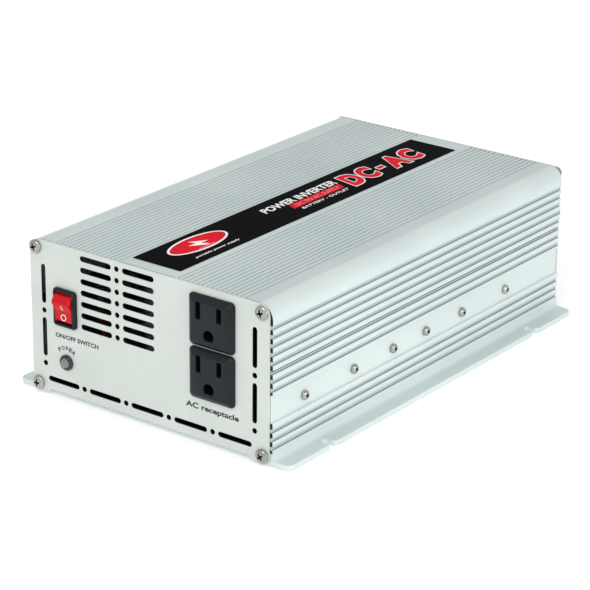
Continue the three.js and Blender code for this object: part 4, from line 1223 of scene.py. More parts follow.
@dataclass
class Nameplate:
    """The glossy film along the top and the generic art printed on it.

    Places are (across, along) pairs. A big letter has its start and end along the film.
    """

    shop: Workshop
    film: float = 0.17
    film_middle: float = -0.6
    film_margin: float = 1.5
    lean: float = 0.25
    levels: tuple[float, float, float] = (82.285, 82.305, 82.325)
    ink: float = 0.018
    badge: tuple[float, float] = (-3.6, 44.0)
    bolt_middle: tuple[float, float] = (-3.4, 44.0)
    bolt_scale: tuple[float, float] = (0.92, 1.5)
    bolt: tuple[tuple[float, float], ...] = (
        (0.6, -5.2), (-4.4, 0.9), (-0.7, 0.6), (-1.6, 5.0), (4.2, -1.4), (0.6, -1.0), (2.2, -5.2))
    big_letters: tuple[tuple[str, float, float], ...] = (
        ("D", 162, 175.5), ("C", 177, 190), ("-", 192, 198), ("A", 199, 214.5), ("C", 216, 230))
    outline: float = 0.75

    def along(self, x: float, y: float, z: float) -> Matrix:
        """Gives the matrix that lays print along the film, its top to the left side."""
        return Matrix(((0, -1, 0, x), (1, 0, 0, y), (0, 0, 1, z), (0, 0, 0, 1)))

    def words(self, text: str, x: Point, y: Point, level: int, weight: float = 0.02,
              grow: float = 0.0) -> Mesh:
        """Prints words in a box on the film.

        Args:
            text: What they say.
            x: The box's ends across the film, its top first.
            y: The box's ends along the film.
            level: Which layer of ink it is in.
            weight: How bold it is.
            grow: How much wider than the box it grows on every side, for an outline.

        Returns:
            The print's mesh.
        """
        mesh = self.shop.lettering(text, y[1] - y[0] + 2 * grow, x[1] - x[0] + 2 * grow, weight,
                                   self.lean, self.ink)
        mesh.transform(self.along((x[0] + x[1]) / 2, (y[0] + y[1]) / 2, self.levels[level]))
        return mesh

    def patch(self, loop: Loop, level: int, look: Finish) -> Mesh:
        """Prints a plain shape in one layer of ink."""
        return self.shop.prism([loop], self.levels[level], self.ink, look, axis=2)

    def oval(self, half_x: float, half_y: float) -> Loop:
        """Draws an oval of the badge."""
        x, y = self.badge
        return [(x + half_x * math.sin(a), y + half_y * math.cos(a))
                for a in (math.tau * i / 64 for i in range(64))]

    def build(self) -> None:
        """Makes the film and its three layers of print."""
        shop = self.shop
        low, high = shop.span("name_label")
        film = rounded(self.film_middle, (low.y + high.y) / 2, high.x - low.x - self.film_margin,
                       high.y - low.y, 0.4, 3)
        form = Form()
        form.lofted([[(x, y, z) for x, y in film] for z in (low.z, low.z + self.film)])
        shop.piece(form.mesh(), "nameplate_film", "case", "label_black", [Look.FILM],
                   ["name_label"])
        white, red, pink = Form(), Form(), Form()
        white.add(self.patch(self.oval(8.5, 21.4), 0, Look.WHITE_INK))
        red.add(self.patch(self.oval(7.2, 20.0), 1, Look.RED_INK))
        (x, y), (x_scale, y_scale) = self.bolt_middle, self.bolt_scale
        mark = [(x - v * x_scale, y + u * y_scale) for u, v in self.bolt]
        white.add(self.patch(mark, 2, Look.WHITE_INK))
        pink.add(self.patch(rounded(2.4, 44, 1.0, 12, 0.45, 3), 2, Look.PINK_INK))
        red.add(self.patch([(3.4, 113.5), (-2.0, 116), (-2.0, 159), (3.4, 157)], 0, Look.RED_INK))
        for form, text, x_ends, y_ends, level, weight in (
                (white, "portable power supply", (7.8, 10.0), (27, 61.5), 0, 0.02),
                (white, "POWER INVERTER", (-9.0, -2.9), (98.5, 160), 0, 0.03),
                (pink, "DC TO AC SUPPLY", (-0.9, 2.4), (118, 156), 1, 0.015),
                (white, "BATTERY - OUTLET", (5.0, 7.3), (116.5, 157), 0, 0.02)):
            form.add(self.words(text, x_ends, y_ends, level, weight))
        for letter, start, end in self.big_letters:
            rows = (-9.0, 7.2) if letter != "-" else (-2.2, 0.8)
            white.add(self.words(letter, rows, (start, end), 0, 0.085, self.outline))
            red.add(self.words(letter, rows, (start, end), 1, 0.055))
        for form, name, slot, look in ((white, "white_print", "print_white", Look.WHITE_INK),
                                       (red, "red_print", "print_red", Look.RED_INK),
                                       (pink, "pale_red_print", "print_red", Look.PINK_INK)):
            shop.piece(form.mesh(), name, "case", slot, [look])


# ---------------- fixings


@dataclass(frozen=True)
class ScrewSize:
    """One size of screw.

    It has the head's radius and height, the shank's radius and length, how far across the cross
    recess is, and how wide its arms are.
    """

    head: float
    rise: float
    shank: float
    length: float
    drive: float
    arm: float


@dataclass
class Screws:
    """Cross-recessed screws with domed heads, made once for each size and then repeated."""

    shop: Workshop
    sides: int = 28
    skirt: float = 0.28
    dome: float = 0.72
    ridge_pitch: float = 0.45
    ridge_start: float = 1.2
    widest_spin: float = 1.2
    plate_size: ScrewSize = ScrewSize(3.6, 2.1, 1.35, 13.6, 4.2, 1.15)
    clamp_size: ScrewSize = ScrewSize(2.5, 1.9, 1.45, 12.2, 3.0, 0.9)
    fan_size: ScrewSize = ScrewSize(3.8, 2.2, 1.95, 19.6, 4.2, 1.15)

    def screw(self, size: ScrewSize) -> Mesh:
        """Makes one screw along +Z with its seat at the origin.

        Args:
            size: Its size.

        Returns:
            The screw, with the faces of its recess marked.
        """
        head, rise, shank = size.head, size.rise, size.shank
        dome = [(head * math.sin(a), rise * (self.skirt + self.dome * math.cos(a)))
                for a in (math.radians(d) for d in (12, 26, 40, 54, 68, 80, 88))]
        ridges = [(shank * (1.0 if i % 2 else 0.8), -self.ridge_start - i * self.ridge_pitch)
                  for i in range(int((size.length - 2.5) / self.ridge_pitch))]
        form = Form()
        form.turned([(0, rise), *dome, (head, rise * 0.24), (head * 0.97, 0.0),
                     (shank * 0.8, -0.01), *ridges, (shank * 0.35, -size.length),
                     (0, -size.length)], self.sides)
        arms = Form()
        half, arm = size.drive / 2, size.arm / 2
        quarter = [(half, -arm), (half, arm), (arm, arm)]
        cross = [(x * c - y * s, x * s + y * c) for c, s in ((1, 0), (0, 1), (-1, 0), (0, -1))
                 for x, y in quarter]
        arms.lofted([[(x, y, rise + 0.5) for x, y in cross],
                     [(x * 0.6, y * 0.6, rise * 0.25) for x, y in cross]])
        mesh = self.shop.carved(form.mesh(), arms.mesh())
        marks = mesh.attributes.get("marked") or mesh.attributes.new("marked", "BOOLEAN", "FACE")
        for polygon in mesh.polygons:
            centre = polygon.center
            r = math.hypot(centre.x, centre.y)
            flat = math.sqrt(max(0.0, 1 - (r / head) ** 2))
            sunk = rise * (self.skirt + self.dome * flat) - centre.z > 0.12
            in_drive = centre.z > 0.1 and r < half * 1.05
            marks.data[polygon.index].value = in_drive and (sunk or polygon.normal.z < 0.55)
        return mesh

    def group(self, name: str, nodes: Sequence[str], facing: Facing, size: ScrewSize) -> None:
        """Makes the screws of one size that look one way as one piece.

        Args:
            name: The piece's name.
            nodes: The CAD nodes that they stand for.
            facing: Which way their heads look.
            size: Their size.
        """
        places = []
        for node in nodes:
            low, high = self.shop.span(node)
            point = (low + high) / 2
            if facing is Facing.FRONT:
                point.y = low.y + size.rise
            elif facing is Facing.REAR:
                point.y = high.y - size.rise
            elif facing is Facing.RIGHT:
                point.x = high.x - size.rise
            else:
                point.x = low.x + size.rise
            places.append((point, facing))
        # The recess faces take the painted recess shade.
        mesh = self.shop.repeated(self.screw(size), places, Look.NICKEL, Look.RECESS_SHADE,
                                  spin=self.widest_spin)
        self.shop.piece(mesh, name, "case", "nickel_steel", (), nodes, sharp=30)

    def build(self) -> None:
        """Makes every screw but the earth screw."""
        for start, count, facing, size in (
                ("front_plate_screw", 4, Facing.FRONT, self.plate_size),
                ("rear_plate_screw", 4, Facing.REAR, self.plate_size),
                ("right_clamp_screw", 6, Facing.RIGHT, self.clamp_size),
                ("left_clamp_screw", 6, Facing.LEFT, self.clamp_size),
                ("fan_screw", 4, Facing.REAR, self.fan_size)):
            nodes = [f"{start}_{i}" for i in range(1, count + 1)]
            self.group(f"{start}s", nodes, facing, size)
        self.shop.dress(Look.CLAMP_STEEL, "right_clamp_bar", "left_clamp_bar")


# ---------------- front fittings


@dataclass
class Sockets:
    """The two three-pin outlets, each a moulded block with a bevelled rim."""

    shop: Workshop
    width: float = 27.2
    height: float = 26.4
    body_width: float = 23.4
    body_height: float = 24.0
    bevel: float = 2.6
    bevel_depth: float = 2.3
    spread: float = 12.7
    up: float = 5.9
    down: float = 6.1
    slot_width: float = 3.0
    neutral: float = 8.8
    live: float = 7.6
    earth: float = 3.2
    earth_flat: float = 2.4
    hole_depth: float = 17.5
    shoulder: float = 24.1
    leaf_gap: float = 1.1
    leaf_half: float = 0.2
    leaf_inset: float = 0.8
    leaf_ends: tuple[float, float] = (5.0, 17.0)

    def outlet(self, node: str, name: str) -> None:
        """Makes one outlet and its contacts.

        Args:
            node: The CAD node that it stands for.
            name: The piece's name.
        """
        x, z, face, back = self.shop.seat(node)

        def ring(inset: float, y: float, radius: float) -> list[tuple[float, float, float]]:
            """Draws the rim's outline at a depth."""
            outline = rounded(x, z, self.width - 2 * inset, self.height - 2 * inset, radius, 5)
            return [(a, y, b) for a, b in outline]

        neck = rounded(x, z, self.body_width, self.body_height, 0.8, 5)
        step = back - self.shoulder
        rings = [ring(self.bevel + 0.35, face, 0.8), ring(self.bevel, face + 0.1, 1.0),
                 ring(self.bevel - 0.3, face + 0.4, 1.2),
                 ring(0.35, face + self.bevel_depth - 0.2, 2.0),
                 ring(0.0, face + self.bevel_depth + 0.25, 2.2), ring(0.0, step, 2.2),
                 [(a, step + 0.05, b) for a, b in neck], [(a, back, b) for a, b in neck]]
        top, pin = z + self.up, z - self.down
        slots = [rounded(x + side * self.spread / 2, top, self.slot_width, tall, 0.35, 2)
                 for side, tall in ((-1, self.neutral), (1, self.live))]
        cut = math.degrees(math.asin(self.earth_flat / self.earth))
        slots.append(arc(x, pin, self.earth, -cut, 180 + cut, 20))
        form = Form()
        form.lofted(rings, holes=[[(a, face, b) for a, b in loop] for loop in slots],
                    depth=(0, self.hole_depth, 0))
        mesh = self.shop.marks_to_slots(form.mesh())
        # The holes take the painted recess shade.
        self.shop.piece(mesh, name, "case", "slate_plastic", [Look.SLATE, Look.RECESS_SHADE], [node],
                        sharp=50)
        contacts = Form()
        start, end = self.leaf_ends
        for side, tall in ((-1, self.neutral), (1, self.live)):
            reach = tall / 2 - self.leaf_inset
            for leaf in (-1, 1):
                centre = x + side * self.spread / 2 + leaf * self.leaf_gap
                contacts.block((centre - self.leaf_half, face + start, top - reach),
                               (centre + self.leaf_half, face + end, top + reach), 0.15)
        self.shop.piece(contacts.mesh(), f"{name}_contacts", "case", "contact_bronze",
                        [Look.BRONZE])

    def build(self) -> None:
        """Makes both outlets."""
        self.outlet("upper_socket", "upper_outlet")
        self.outlet("lower_socket", "lower_outlet")


@dataclass
class PowerSwitch:
    """The rocker switch and the lamp below it."""

    shop: Workshop
    width: float = 14.6
    height: float = 20.0
    chamfer: float = 0.8
    neck: tuple[float, float] = (12.8, 18.0)
    well: tuple[float, float] = (11.6, 17.2)
    well_depth: float = 10.5
    button_ease: float = 0.42
    stroke: float = 0.22
    stroke_lift: float = 0.02
    lamp_seat: float = -0.3
    lamp_rim: float = 4.1
    lamp_body: float = 3.55
    dome: float = 2.7

    def housing(self) -> None:
        """Makes the dark housing with its chamfered rim and its well."""
        x, z, face, back = self.shop.seat("switch_housing")

        def ring(width: float, height: float, radius: float, y: float) -> list[Point]:
            """Draws an outline of the housing at a depth."""
            return [(a, y, b) for a, b in rounded(x, z, width, height, radius, 5)]

        rim = [ring(self.width - 2 * self.chamfer, self.height - 2 * self.chamfer, 1.2, face),
               ring(self.width - 0.5, self.height - 0.5, 1.6, face + 0.55),
               ring(self.width, self.height, 1.8, face + 0.95),
               ring(self.width, self.height, 1.8, -0.25), ring(*self.neck, 0.8, -0.2),
               ring(*self.neck, 0.8, back)]
        form = Form()
        form.lofted(rim, holes=[ring(*self.well, 0.6, face)], depth=(0, self.well_depth, 0))
        mesh = self.shop.marks_to_slots(form.mesh())
        self.shop.piece(mesh, "switch_surround", "case", "slate_plastic",
                        [Look.SLATE, Look.BLACK_PLASTIC], ["switch_housing"])

    def button(self) -> None:
        """Makes the red rocker and the two marks on its face."""
        low, high = self.shop.span("switch_rocker")
        x = (low.x + high.x) / 2
        profile = self.shop.section("switch_rocker", x, axis=0)[0]
        form = Form()
        form.add(self.shop.prism([profile], low.x, high.x - low.x, Look.RED_GLOSS, axis=0))
        form.ease(self.button_ease, 3, 14)
        for vert in form.bm.verts:
            vert.co = Vector(min(max(c, a), b) for c, a, b in zip(vert.co, low, high))
        self.shop.piece(form.mesh(), "rocker_button", "rocker", "rocker_red", [Look.RED_GLOSS],
                        ["switch_rocker"], sharp=50)
        marks = Form()
        bar = [(0, z, self.stroke_lift) for z in (-1.7, 1.7)]
        ring = [(a, b, self.stroke_lift) for a, b in circle(0, -0.5, 1.55, 28)]
        for (upper, lower), path in zip(self.face_points(profile), (bar, ring)):
            middle = (upper + lower) / 2
            run = (upper - lower).normalized()
            out = Vector((-abs(run.y), run.x if run.y > 0 else -run.x))
            place = Matrix(((1, 0, 0, x), (0, run.x, out.x, middle.x), (0, run.y, out.y, middle.y),
                            (0, 0, 0, 1)))
            marks.add(self.shop.wire(path, self.stroke, Look.WHITE_INK, path is ring, 6), place)
        self.shop.piece(marks.mesh(), "rocker_marks", "rocker", "print_white", [Look.WHITE_INK])

    def face_points(self, profile: Loop) -> list[tuple[Vector, Vector]]:
        """Finds the rocker's two front faces, from the top tip to the valley and on from it.

        Args:
            profile: The rocker's outline as (Y, Z) points.

        Returns:
            The upper and lower ends of the upper face, then of the lower one.
        """
        runs = []
        for start, end in zip(profile, profile[1:] + profile[:1]):
            a, b = Vector(start), Vector(end)
            if abs(a.y - b.y) > 4 and max(a.x, b.x) < 0:
                runs.append((a, b) if a.y > b.y else (b, a))
        return sorted(runs, key=lambda pair: -pair[0].y)[:2]

    def lamp(self) -> None:
        """Makes the lamp's dark holder and its smoked dome."""
        x, z, front, back = self.shop.seat("lamp_bezel")
        place = Facing.FRONT.at(x, self.lamp_seat, z)
        rim, rise, dome = self.lamp_rim, self.lamp_seat - front, self.dome
        profile = [(self.lamp_body, self.lamp_seat - back), (self.lamp_body, -0.02), (rim, 0.0),
                   (rim, rise * 0.45), (rim - 0.25, rise * 0.8), (rim - 0.7, rise),
                   (rim - 1.05, rise), (rim - 1.25, rise - 0.3), (rim - 1.25, -4.5)]
        form = Form()
        form.lofted([[(a, b, h) for a, b in circle(0, 0, r, 40)] for r, h in profile], place)
        self.shop.piece(form.mesh(), "lamp_holder", "case", "lamp_holder", [Look.DARK_GLOSS],
                        ["lamp_bezel"], sharp=60)
        tall = self.lamp_seat - self.shop.span("lamp_lens")[0].y
        crown = [(dome * math.sin(a), rise - 0.2 + (tall - rise + 0.2) * math.cos(a))
                 for a in (math.radians(d) for d in (10, 22, 35, 48, 61, 74, 88))]
        lens = Form()
        lens.turned([(0, tall), *crown, (dome, rise - 0.6), (dome, -3.5), (0, -3.5)], 32, place)
        self.shop.piece(lens.mesh(), "lamp_dome", "case", "lamp_lens", [Look.LENS], ["lamp_lens"],
                        sharp=60)

    def build(self) -> None:
        """Makes the switch and the lamp."""
        self.housing()
        self.button()
        self.lamp()


# ---------------- rear fittings


@dataclass
class Terminals:
    """The two battery terminals and the earth screw on the rear plate."""

    shop: Workshop
    flange: float = 3.4
    drill: float = 4.3
    stud: float = 4.0
    groove: float = 0.35
    point: float = 1.1
    pitch: float = 1.25
    turns: float = 16.0
    ridge: float = 0.42
    thread_rise: float = 15.3
    bore: float = 4.35
    nut_radius: float = 6.1
    teeth: int = 36
    earth_size: ScrewSize = ScrewSize(4.4, 2.8, 2.35, 11.7, 4.8, 1.3)

    def insulated(self, pole: str, look: Finish, slot: str) -> None:
        """Makes one terminal: bush, threaded stud, washer and thumb nut.

        Args:
            pole: The start of its nodes' names.
            look: The finish of its bush and nut.
            slot: The record's slot for them.
        """
        shop = self.shop
        x, z, front, back = shop.seat(f"{pole}_terminal_bush")
        plate = back - self.flange
        depth = front - plate
        form = Form()
        form.turned([(0, depth), (7.0, depth), (7.0, 0.0), (10, 0.0), (10, 2.4), (9.7, 3.0),
                     (9.2, 3.38), (5.6, 3.38), (5.2, 3.1), (0, 3.1)], 40,
                    Facing.REAR.at(x, plate, z))
        drill = Form()
        drill.add(shop.prism([circle(x, z, self.drill, 32)], 200, 100, Look.NICKEL))
        shop.piece(shop.carved(form.mesh(), drill.mesh()), f"{pole}_bush", "case", slot, [look],
                   [f"{pole}_terminal_bush"], sharp=40)
        _, _, front, back = shop.seat(f"{pole}_stud")
        shop.piece(self.placed(self.threaded(back - front), Facing.REAR.at(x, front, z)),
                   f"{pole}_threaded_stud", "case", "nickel_steel", [Look.NICKEL],
                   [f"{pole}_stud"], sharp=50)
        _, _, front, back = shop.seat(f"{pole}_washer")
        washer = self.annulus([(self.bore, 0.0), (7.1, 0.0), (7.2, 0.15), (7.2, 1.4), (7.05, 1.6),
                               (4.5, 1.6), (self.bore, 1.45)])
        shop.piece(self.placed(washer, Facing.REAR.at(x, front, z)), f"{pole}_flat_washer",
                   f"{pole}_washer", "nickel_steel", [Look.NICKEL], [f"{pole}_washer"], sharp=40)
        _, _, front, back = shop.seat(f"{pole}_thumb_nut")
        shop.piece(self.nut((x, front, z), back - front, look), f"{pole}_knurled_nut",
                   f"{pole}_nut", slot, [look], [f"{pole}_thumb_nut"], sharp=35)

    def threaded(self, length: float) -> Form:
        """Makes the headed stud with the thread that the thread tree winds on it.

        Args:
            length: The stud's length.

        Returns:
            The stud along +Z, with the thread lifted to its free end.
        """
        root, tip = self.stud - self.groove, self.stud - self.point
        core = Form()
        core.turned([(0, 0), (6.4, 0), (7.0, 0.5), (7.0, 3.9), (root, 4.0), (root, length - 0.9),
                     (tip, length), (0, length)], 32)
        wound = self.shop.thread.run(core.mesh(), {
            "Radius": self.stud - self.ridge, "Pitch": self.pitch, "Turns": self.turns,
            "Ridge": self.ridge, "Finish": Look.BRASS.material()})
        form = Form()
        form.bm.from_mesh(wound)
        for vert in form.bm.verts:
            r = math.hypot(vert.co.x, vert.co.y)
            of_core = min(abs(r - root), abs(r - tip)) <= 1e-3
            in_reach = (self.stud - 0.9 < r < self.stud + 0.05 and vert.co.z < length
                        and vert.co.z <= self.pitch * self.turns + 0.5)
            if in_reach and not of_core and len(vert.link_edges) == 4:
                vert.co.z = min(vert.co.z + self.thread_rise, length - 0.2)
        return form

    def placed(self, form: Form, place: Matrix) -> Mesh:
        """Ends a form and puts it in its place."""
        mesh = form.mesh()
        mesh.transform(place)
        return mesh

    def annulus(self, profile: Loop, sides: int = 40) -> Form:
        """Turns a closed profile of (radius, height) that keeps clear of the axis."""
        form = Form()
        form.looped([[(a, b, h) for a, b in circle(0, 0, r, sides)] for r, h in profile])
        return form

    def nut(self, seat: Point, tall: float, look: Finish) -> Mesh:
        """Makes a thumb nut with a knurled rim and a chamfered bore.

        Args:
            seat: The middle of its seat.
            tall: Its height.
            look: Its finish.

        Returns:
            The nut in its place.
        """
        rim = self.nut_radius
        body = self.annulus([(self.bore, 0.0), (rim - 0.2, 0.0), (rim, 0.2), (rim, tall - 0.5),
                             (rim - 0.5, tall - 0.02), (4.9, tall - 0.02), (4.6, tall - 0.5),
                             (self.bore, tall - 0.6)], 48)
        tooth = Form()
        tooth.lofted([[(-0.3, -0.3, h), (0.35 * s, 0.0, h), (-0.3, 0.3, h)] for h, s in (
            (0.5, 0.3), (0.9, 1.0), (tall - 1.3, 1.0), (tall - 0.8, 0.3))])
        mesh = self.shop.ringed(tooth.mesh(), body.mesh(), self.teeth, rim - 0.02, look)
        mesh.transform(Facing.REAR.at(*seat))
        return mesh

    def build(self) -> None:
        """Makes both terminals and the earth screw."""
        self.insulated("positive", Look.RED_PLASTIC, "red_plastic")
        self.insulated("negative", Look.BLACK_PLASTIC, "black_plastic")
        x, z, _, back = self.shop.seat("earth_screw")
        mesh = self.shop.repeated(Screws(self.shop).screw(self.earth_size),
                                  [((x, back - self.earth_size.rise, z), Facing.REAR)],
                                  Look.BRASS, Look.RECESS_SHADE)
        self.shop.piece(mesh, "brass_earth_screw", "case", "earth_brass", (), ["earth_screw"],
                        sharp=30)


@dataclass
class CoolingFan:
    """The fan's rotor, with swept blades on a cup-shaped hub."""

    shop: Workshop
    blades: int = 7
    hub: float = 13.2
    tip: float = 27.0
    root: float = 0.6
    sweep: float = 3.2
    pitches: tuple[float, float] = (46.0, 16.0)
    chords: tuple[float, float] = (10.2, 2.6)
    camber: float = 1.1
    section: tuple[tuple[float, float], ...] = (
        (-0.5, 0.0), (-0.3, 0.5), (0.0, 0.7), (0.3, 0.5), (0.5, 0.0), (0.3, -0.12), (0.0, 0.0),
        (-0.3, -0.12))

    def blade(self, tall: float) -> Mesh:
        """Lofts one twisted blade outwards along X, flatter and broader towards its tip.

        Args:
            tall: The rotor's height.

        Returns:
            The blade's mesh.
        """
        rings = []
        for i in range(9):
            share = i / 8
            r = self.hub - self.root + (self.tip - self.hub + self.root) * share
            pitch = math.radians(self.pitches[0] - self.pitches[1] * share)
            chord = self.chords[0] + self.chords[1] * share
            ring = []
            for u, v in self.section:
                across, up = u * chord, v * self.camber
                y = across * math.cos(pitch) - up * math.sin(pitch) + self.sweep * share ** 2
                z = across * math.sin(pitch) + up * math.cos(pitch)
                bend = y / r
                ring.append((r * math.cos(bend) - self.hub, r * math.sin(bend),
                             max(0.4, min(tall - 0.4, z + tall / 2))))
            rings.append(ring)
        form = Form()
        form.lofted(rings)
        return form.mesh()

    def build(self) -> None:
        """Makes the rotor and dresses the frame."""
        shop = self.shop
        low, high = shop.span("fan_rotor")
        middle, tall, r = shop.middle("fan_frame"), high.y - low.y, self.hub
        cup = Form()
        cup.turned([(0, tall - 0.3), (4.0, tall - 0.3), (4.3, tall), (r - 1.2, tall),
                    (r - 0.3, tall - 0.4), (r, tall - 1.2), (r, 0.2), (r - 1.2, 0.2),
                    (r - 1.2, tall - 2.0), (2.4, tall - 2.0), (2.0, tall - 2.2),
                    (1.5, tall - 2.2), (1.5, 0.4), (0, 0.4)], 40)
        mesh = shop.ringed(self.blade(tall), cup.mesh(), self.blades, r, Look.BLACK_PLASTIC)
        mesh.transform(Facing.REAR.at(middle.x, low.y, middle.z))
        shop.piece(mesh, "fan_blades", "rotor", "black_plastic", [Look.BLACK_PLASTIC],
                   ["fan_rotor"], sharp=45)
        shop.dress(Look.BLACK_PLASTIC, "fan_frame")


# ---------------- the inside


@dataclass
class Electronics:
    """What stands on the board: parts, clamped transistors, windings and wires."""

    shop: Workshop
    seed: int = 11
    most_parts: int = 90
    margins: tuple[float, float] = (9.0, 8.0)
    clearance: float = 4.0
    spacing: float = 7.5
    give_up: float = 0.02
    joint_reach: float = 3.4
    transistor_offset: float = 2.7
    transistor_step: float = 9.0
    turns: int = 34
    turn_steps: int = 14
    wound_share: float = 0.94
    wire_radius: float = 0.8
    big: tuple[str, ...] = ("transformer_core_1", "transformer_coil_1", "transformer_core_2",
                            "transformer_coil_2", "input_capacitor_1", "input_capacitor_2",
                            "input_capacitor_3", "bus_capacitor", "output_choke", "fuse_block",
                            "upper_socket", "lower_socket", "switch_housing")

    def free_spots(self, top: float) -> list[tuple[Point, Facing]]:
        """Finds places on the board that no tall part takes, the same ones each time.

        Args:
            top: The height of the board's face.

        Returns:
            Each place, facing up.
        """
        low, high = self.shop.span("circuit_board")
        boxes = [self.shop.span(node) for node in self.big]
        (mx, my), c = self.margins, self.clearance
        chance = random.Random(self.seed)
        spots: list[tuple[Point, Facing]] = []
        while len(spots) < self.most_parts:
            x, y = chance.uniform(low.x + mx, high.x - mx), chance.uniform(low.y + my, high.y - my)
            clear = all(not (a.x - c < x < b.x + c and a.y - c < y < b.y + c) for a, b in boxes)
            apart = all(math.hypot(x - p[0], y - p[1]) > self.spacing for p, _ in spots)
            if clear and apart:
                spots.append(((x, y, top), Facing.UP))
            elif clear and chance.random() < self.give_up:
                break
        return spots

    def board_parts(self) -> None:
        """Makes small resistors and chips, and the solder beside them."""
        spots = self.free_spots(self.shop.span("circuit_board")[1].z)
        resistor, chip, drop = Form(), Form(), Form()
        resistor.turned([(0, -3.0), (0.9, -3.0), (1.15, -2.6), (1.15, -1.9), (0.9, -1.5),
                         (0.9, 1.5), (1.15, 1.9), (1.15, 2.6), (0.9, 3.0), (0, 3.0)], 10,
                        Matrix.Translation((0, 0, 1.25)) @ Matrix.Rotation(math.pi / 2, 4, "Y"))
        chip.block((-2.6, -3.2, 0.1), (2.6, 3.2, 2.2), 0.25)
        drop.turned([(0, 0.9), (0.5, 0.7), (0.9, 0.3), (1.1, 0.0), (0, 0.0)], 10)
        half = len(spots) // 2
        reach = self.joint_reach
        joints = [((p[0] + dx, p[1], p[2]), Facing.UP)
                  for p, _ in spots[:half] for dx in (-reach, reach)]
        for form, places, look, spin, name, slot in (
                (resistor, spots[:half], Look.TAPE, 3.1, "board_resistors", "coil_tape"),
                (chip, spots[half:], Look.EPOXY, 0.0, "board_chips", "transistor_black"),
                (drop, joints, Look.TIN, 0.0, "solder_joints", "solder_tin")):
            mesh = self.shop.repeated(form.mesh(), places, look, spin=spin)
            self.shop.piece(mesh, name, "case", slot)

    def transistors(self) -> None:
        """Makes the power transistors that the clamp bars hold to the walls."""
        shop = self.shop
        board = shop.span("circuit_board")[1].z
        places = []
        for side in ("right", "left"):
            low, high = shop.span(f"{side}_clamp_bar")
            offset, step = self.transistor_offset, self.transistor_step
            x = high.x + offset if side == "right" else low.x - offset
            for i in range(1, 7):
                y = shop.middle(f"{side}_clamp_screw_{i}").y
                places += [((x, y + dy, board), Facing.UP) for dy in (-step, step)]
        body = Form()
        body.block((-2.2, -5.0, 7.5), (2.2, 5.0, 20.5), 0.4)
        for leg in (-2.54, 0, 2.54):
            body.block((-0.3, leg - 0.4, 0.1), (0.3, leg + 0.4, 7.6), 0.1)
        shop.piece(shop.repeated(body.mesh(), places, Look.EPOXY), "power_transistors", "case",
                   "transistor_black")

    def choke(self) -> None:
        """Makes the toroid: a ferrite ring with enamelled wire wound round it."""
        low, high = self.shop.span("output_choke")
        centre = (low + high) / 2
        tall = high.z - low.z
        major, minor = (high.x - low.x) / 2 - tall / 2, tall / 2 - 1.1

        def on_tube(a: float, b: float, reach: float) -> tuple[float, float, float]:
            """Gives a point of a tube, from the angles round the ring and round the tube."""
            r = major + reach * math.cos(b)
            return (centre.x + r * math.cos(a), centre.y + r * math.sin(a),
                    centre.z + reach * math.sin(b))

        count = self.turns * self.turn_steps
        path = [on_tube(math.tau * share * self.wound_share, math.tau * self.turns * share,
                        minor + 0.05) for share in (i / count for i in range(count))]
        shop = self.shop
        shop.piece(shop.wire(path, self.wire_radius, Look.ENAMEL_WIRE, sides=6), "choke_winding",
                   "case", "copper_winding", [Look.ENAMEL_WIRE], sharp=60)
        ring = Form()
        ring.looped([[on_tube(math.tau * i / 40, math.tau * j / 12, minor - 0.9)
                      for j in range(12)] for i in range(40)])
        shop.piece(ring.mesh(), "choke_ring", "case", "ferrite", [Look.FERRITE],
                   ["output_choke"], sharp=60)

    def curve(self, points: Sequence[Point], steps: int = 8) -> list[Vector]:
        """Runs a smooth curve through points.

        Args:
            points: What it passes through.
            steps: How many sides it has between two of them.

        Returns:
            The curve's points.
        """
        p = [Vector(points[0]), *map(Vector, points), Vector(points[-1])]
        path = []
        for i in range(1, len(p) - 2):
            for k in range(steps):
                t = k / steps
                path.append(0.5 * ((2 * p[i]) + (p[i + 1] - p[i - 1]) * t
                                   + (2 * p[i - 1] - 5 * p[i] + 4 * p[i + 1] - p[i + 2]) * t * t
                                   + (3 * p[i] - p[i - 1] - 3 * p[i + 1] + p[i + 2]) * t ** 3))
        path.append(p[-2])
        return path

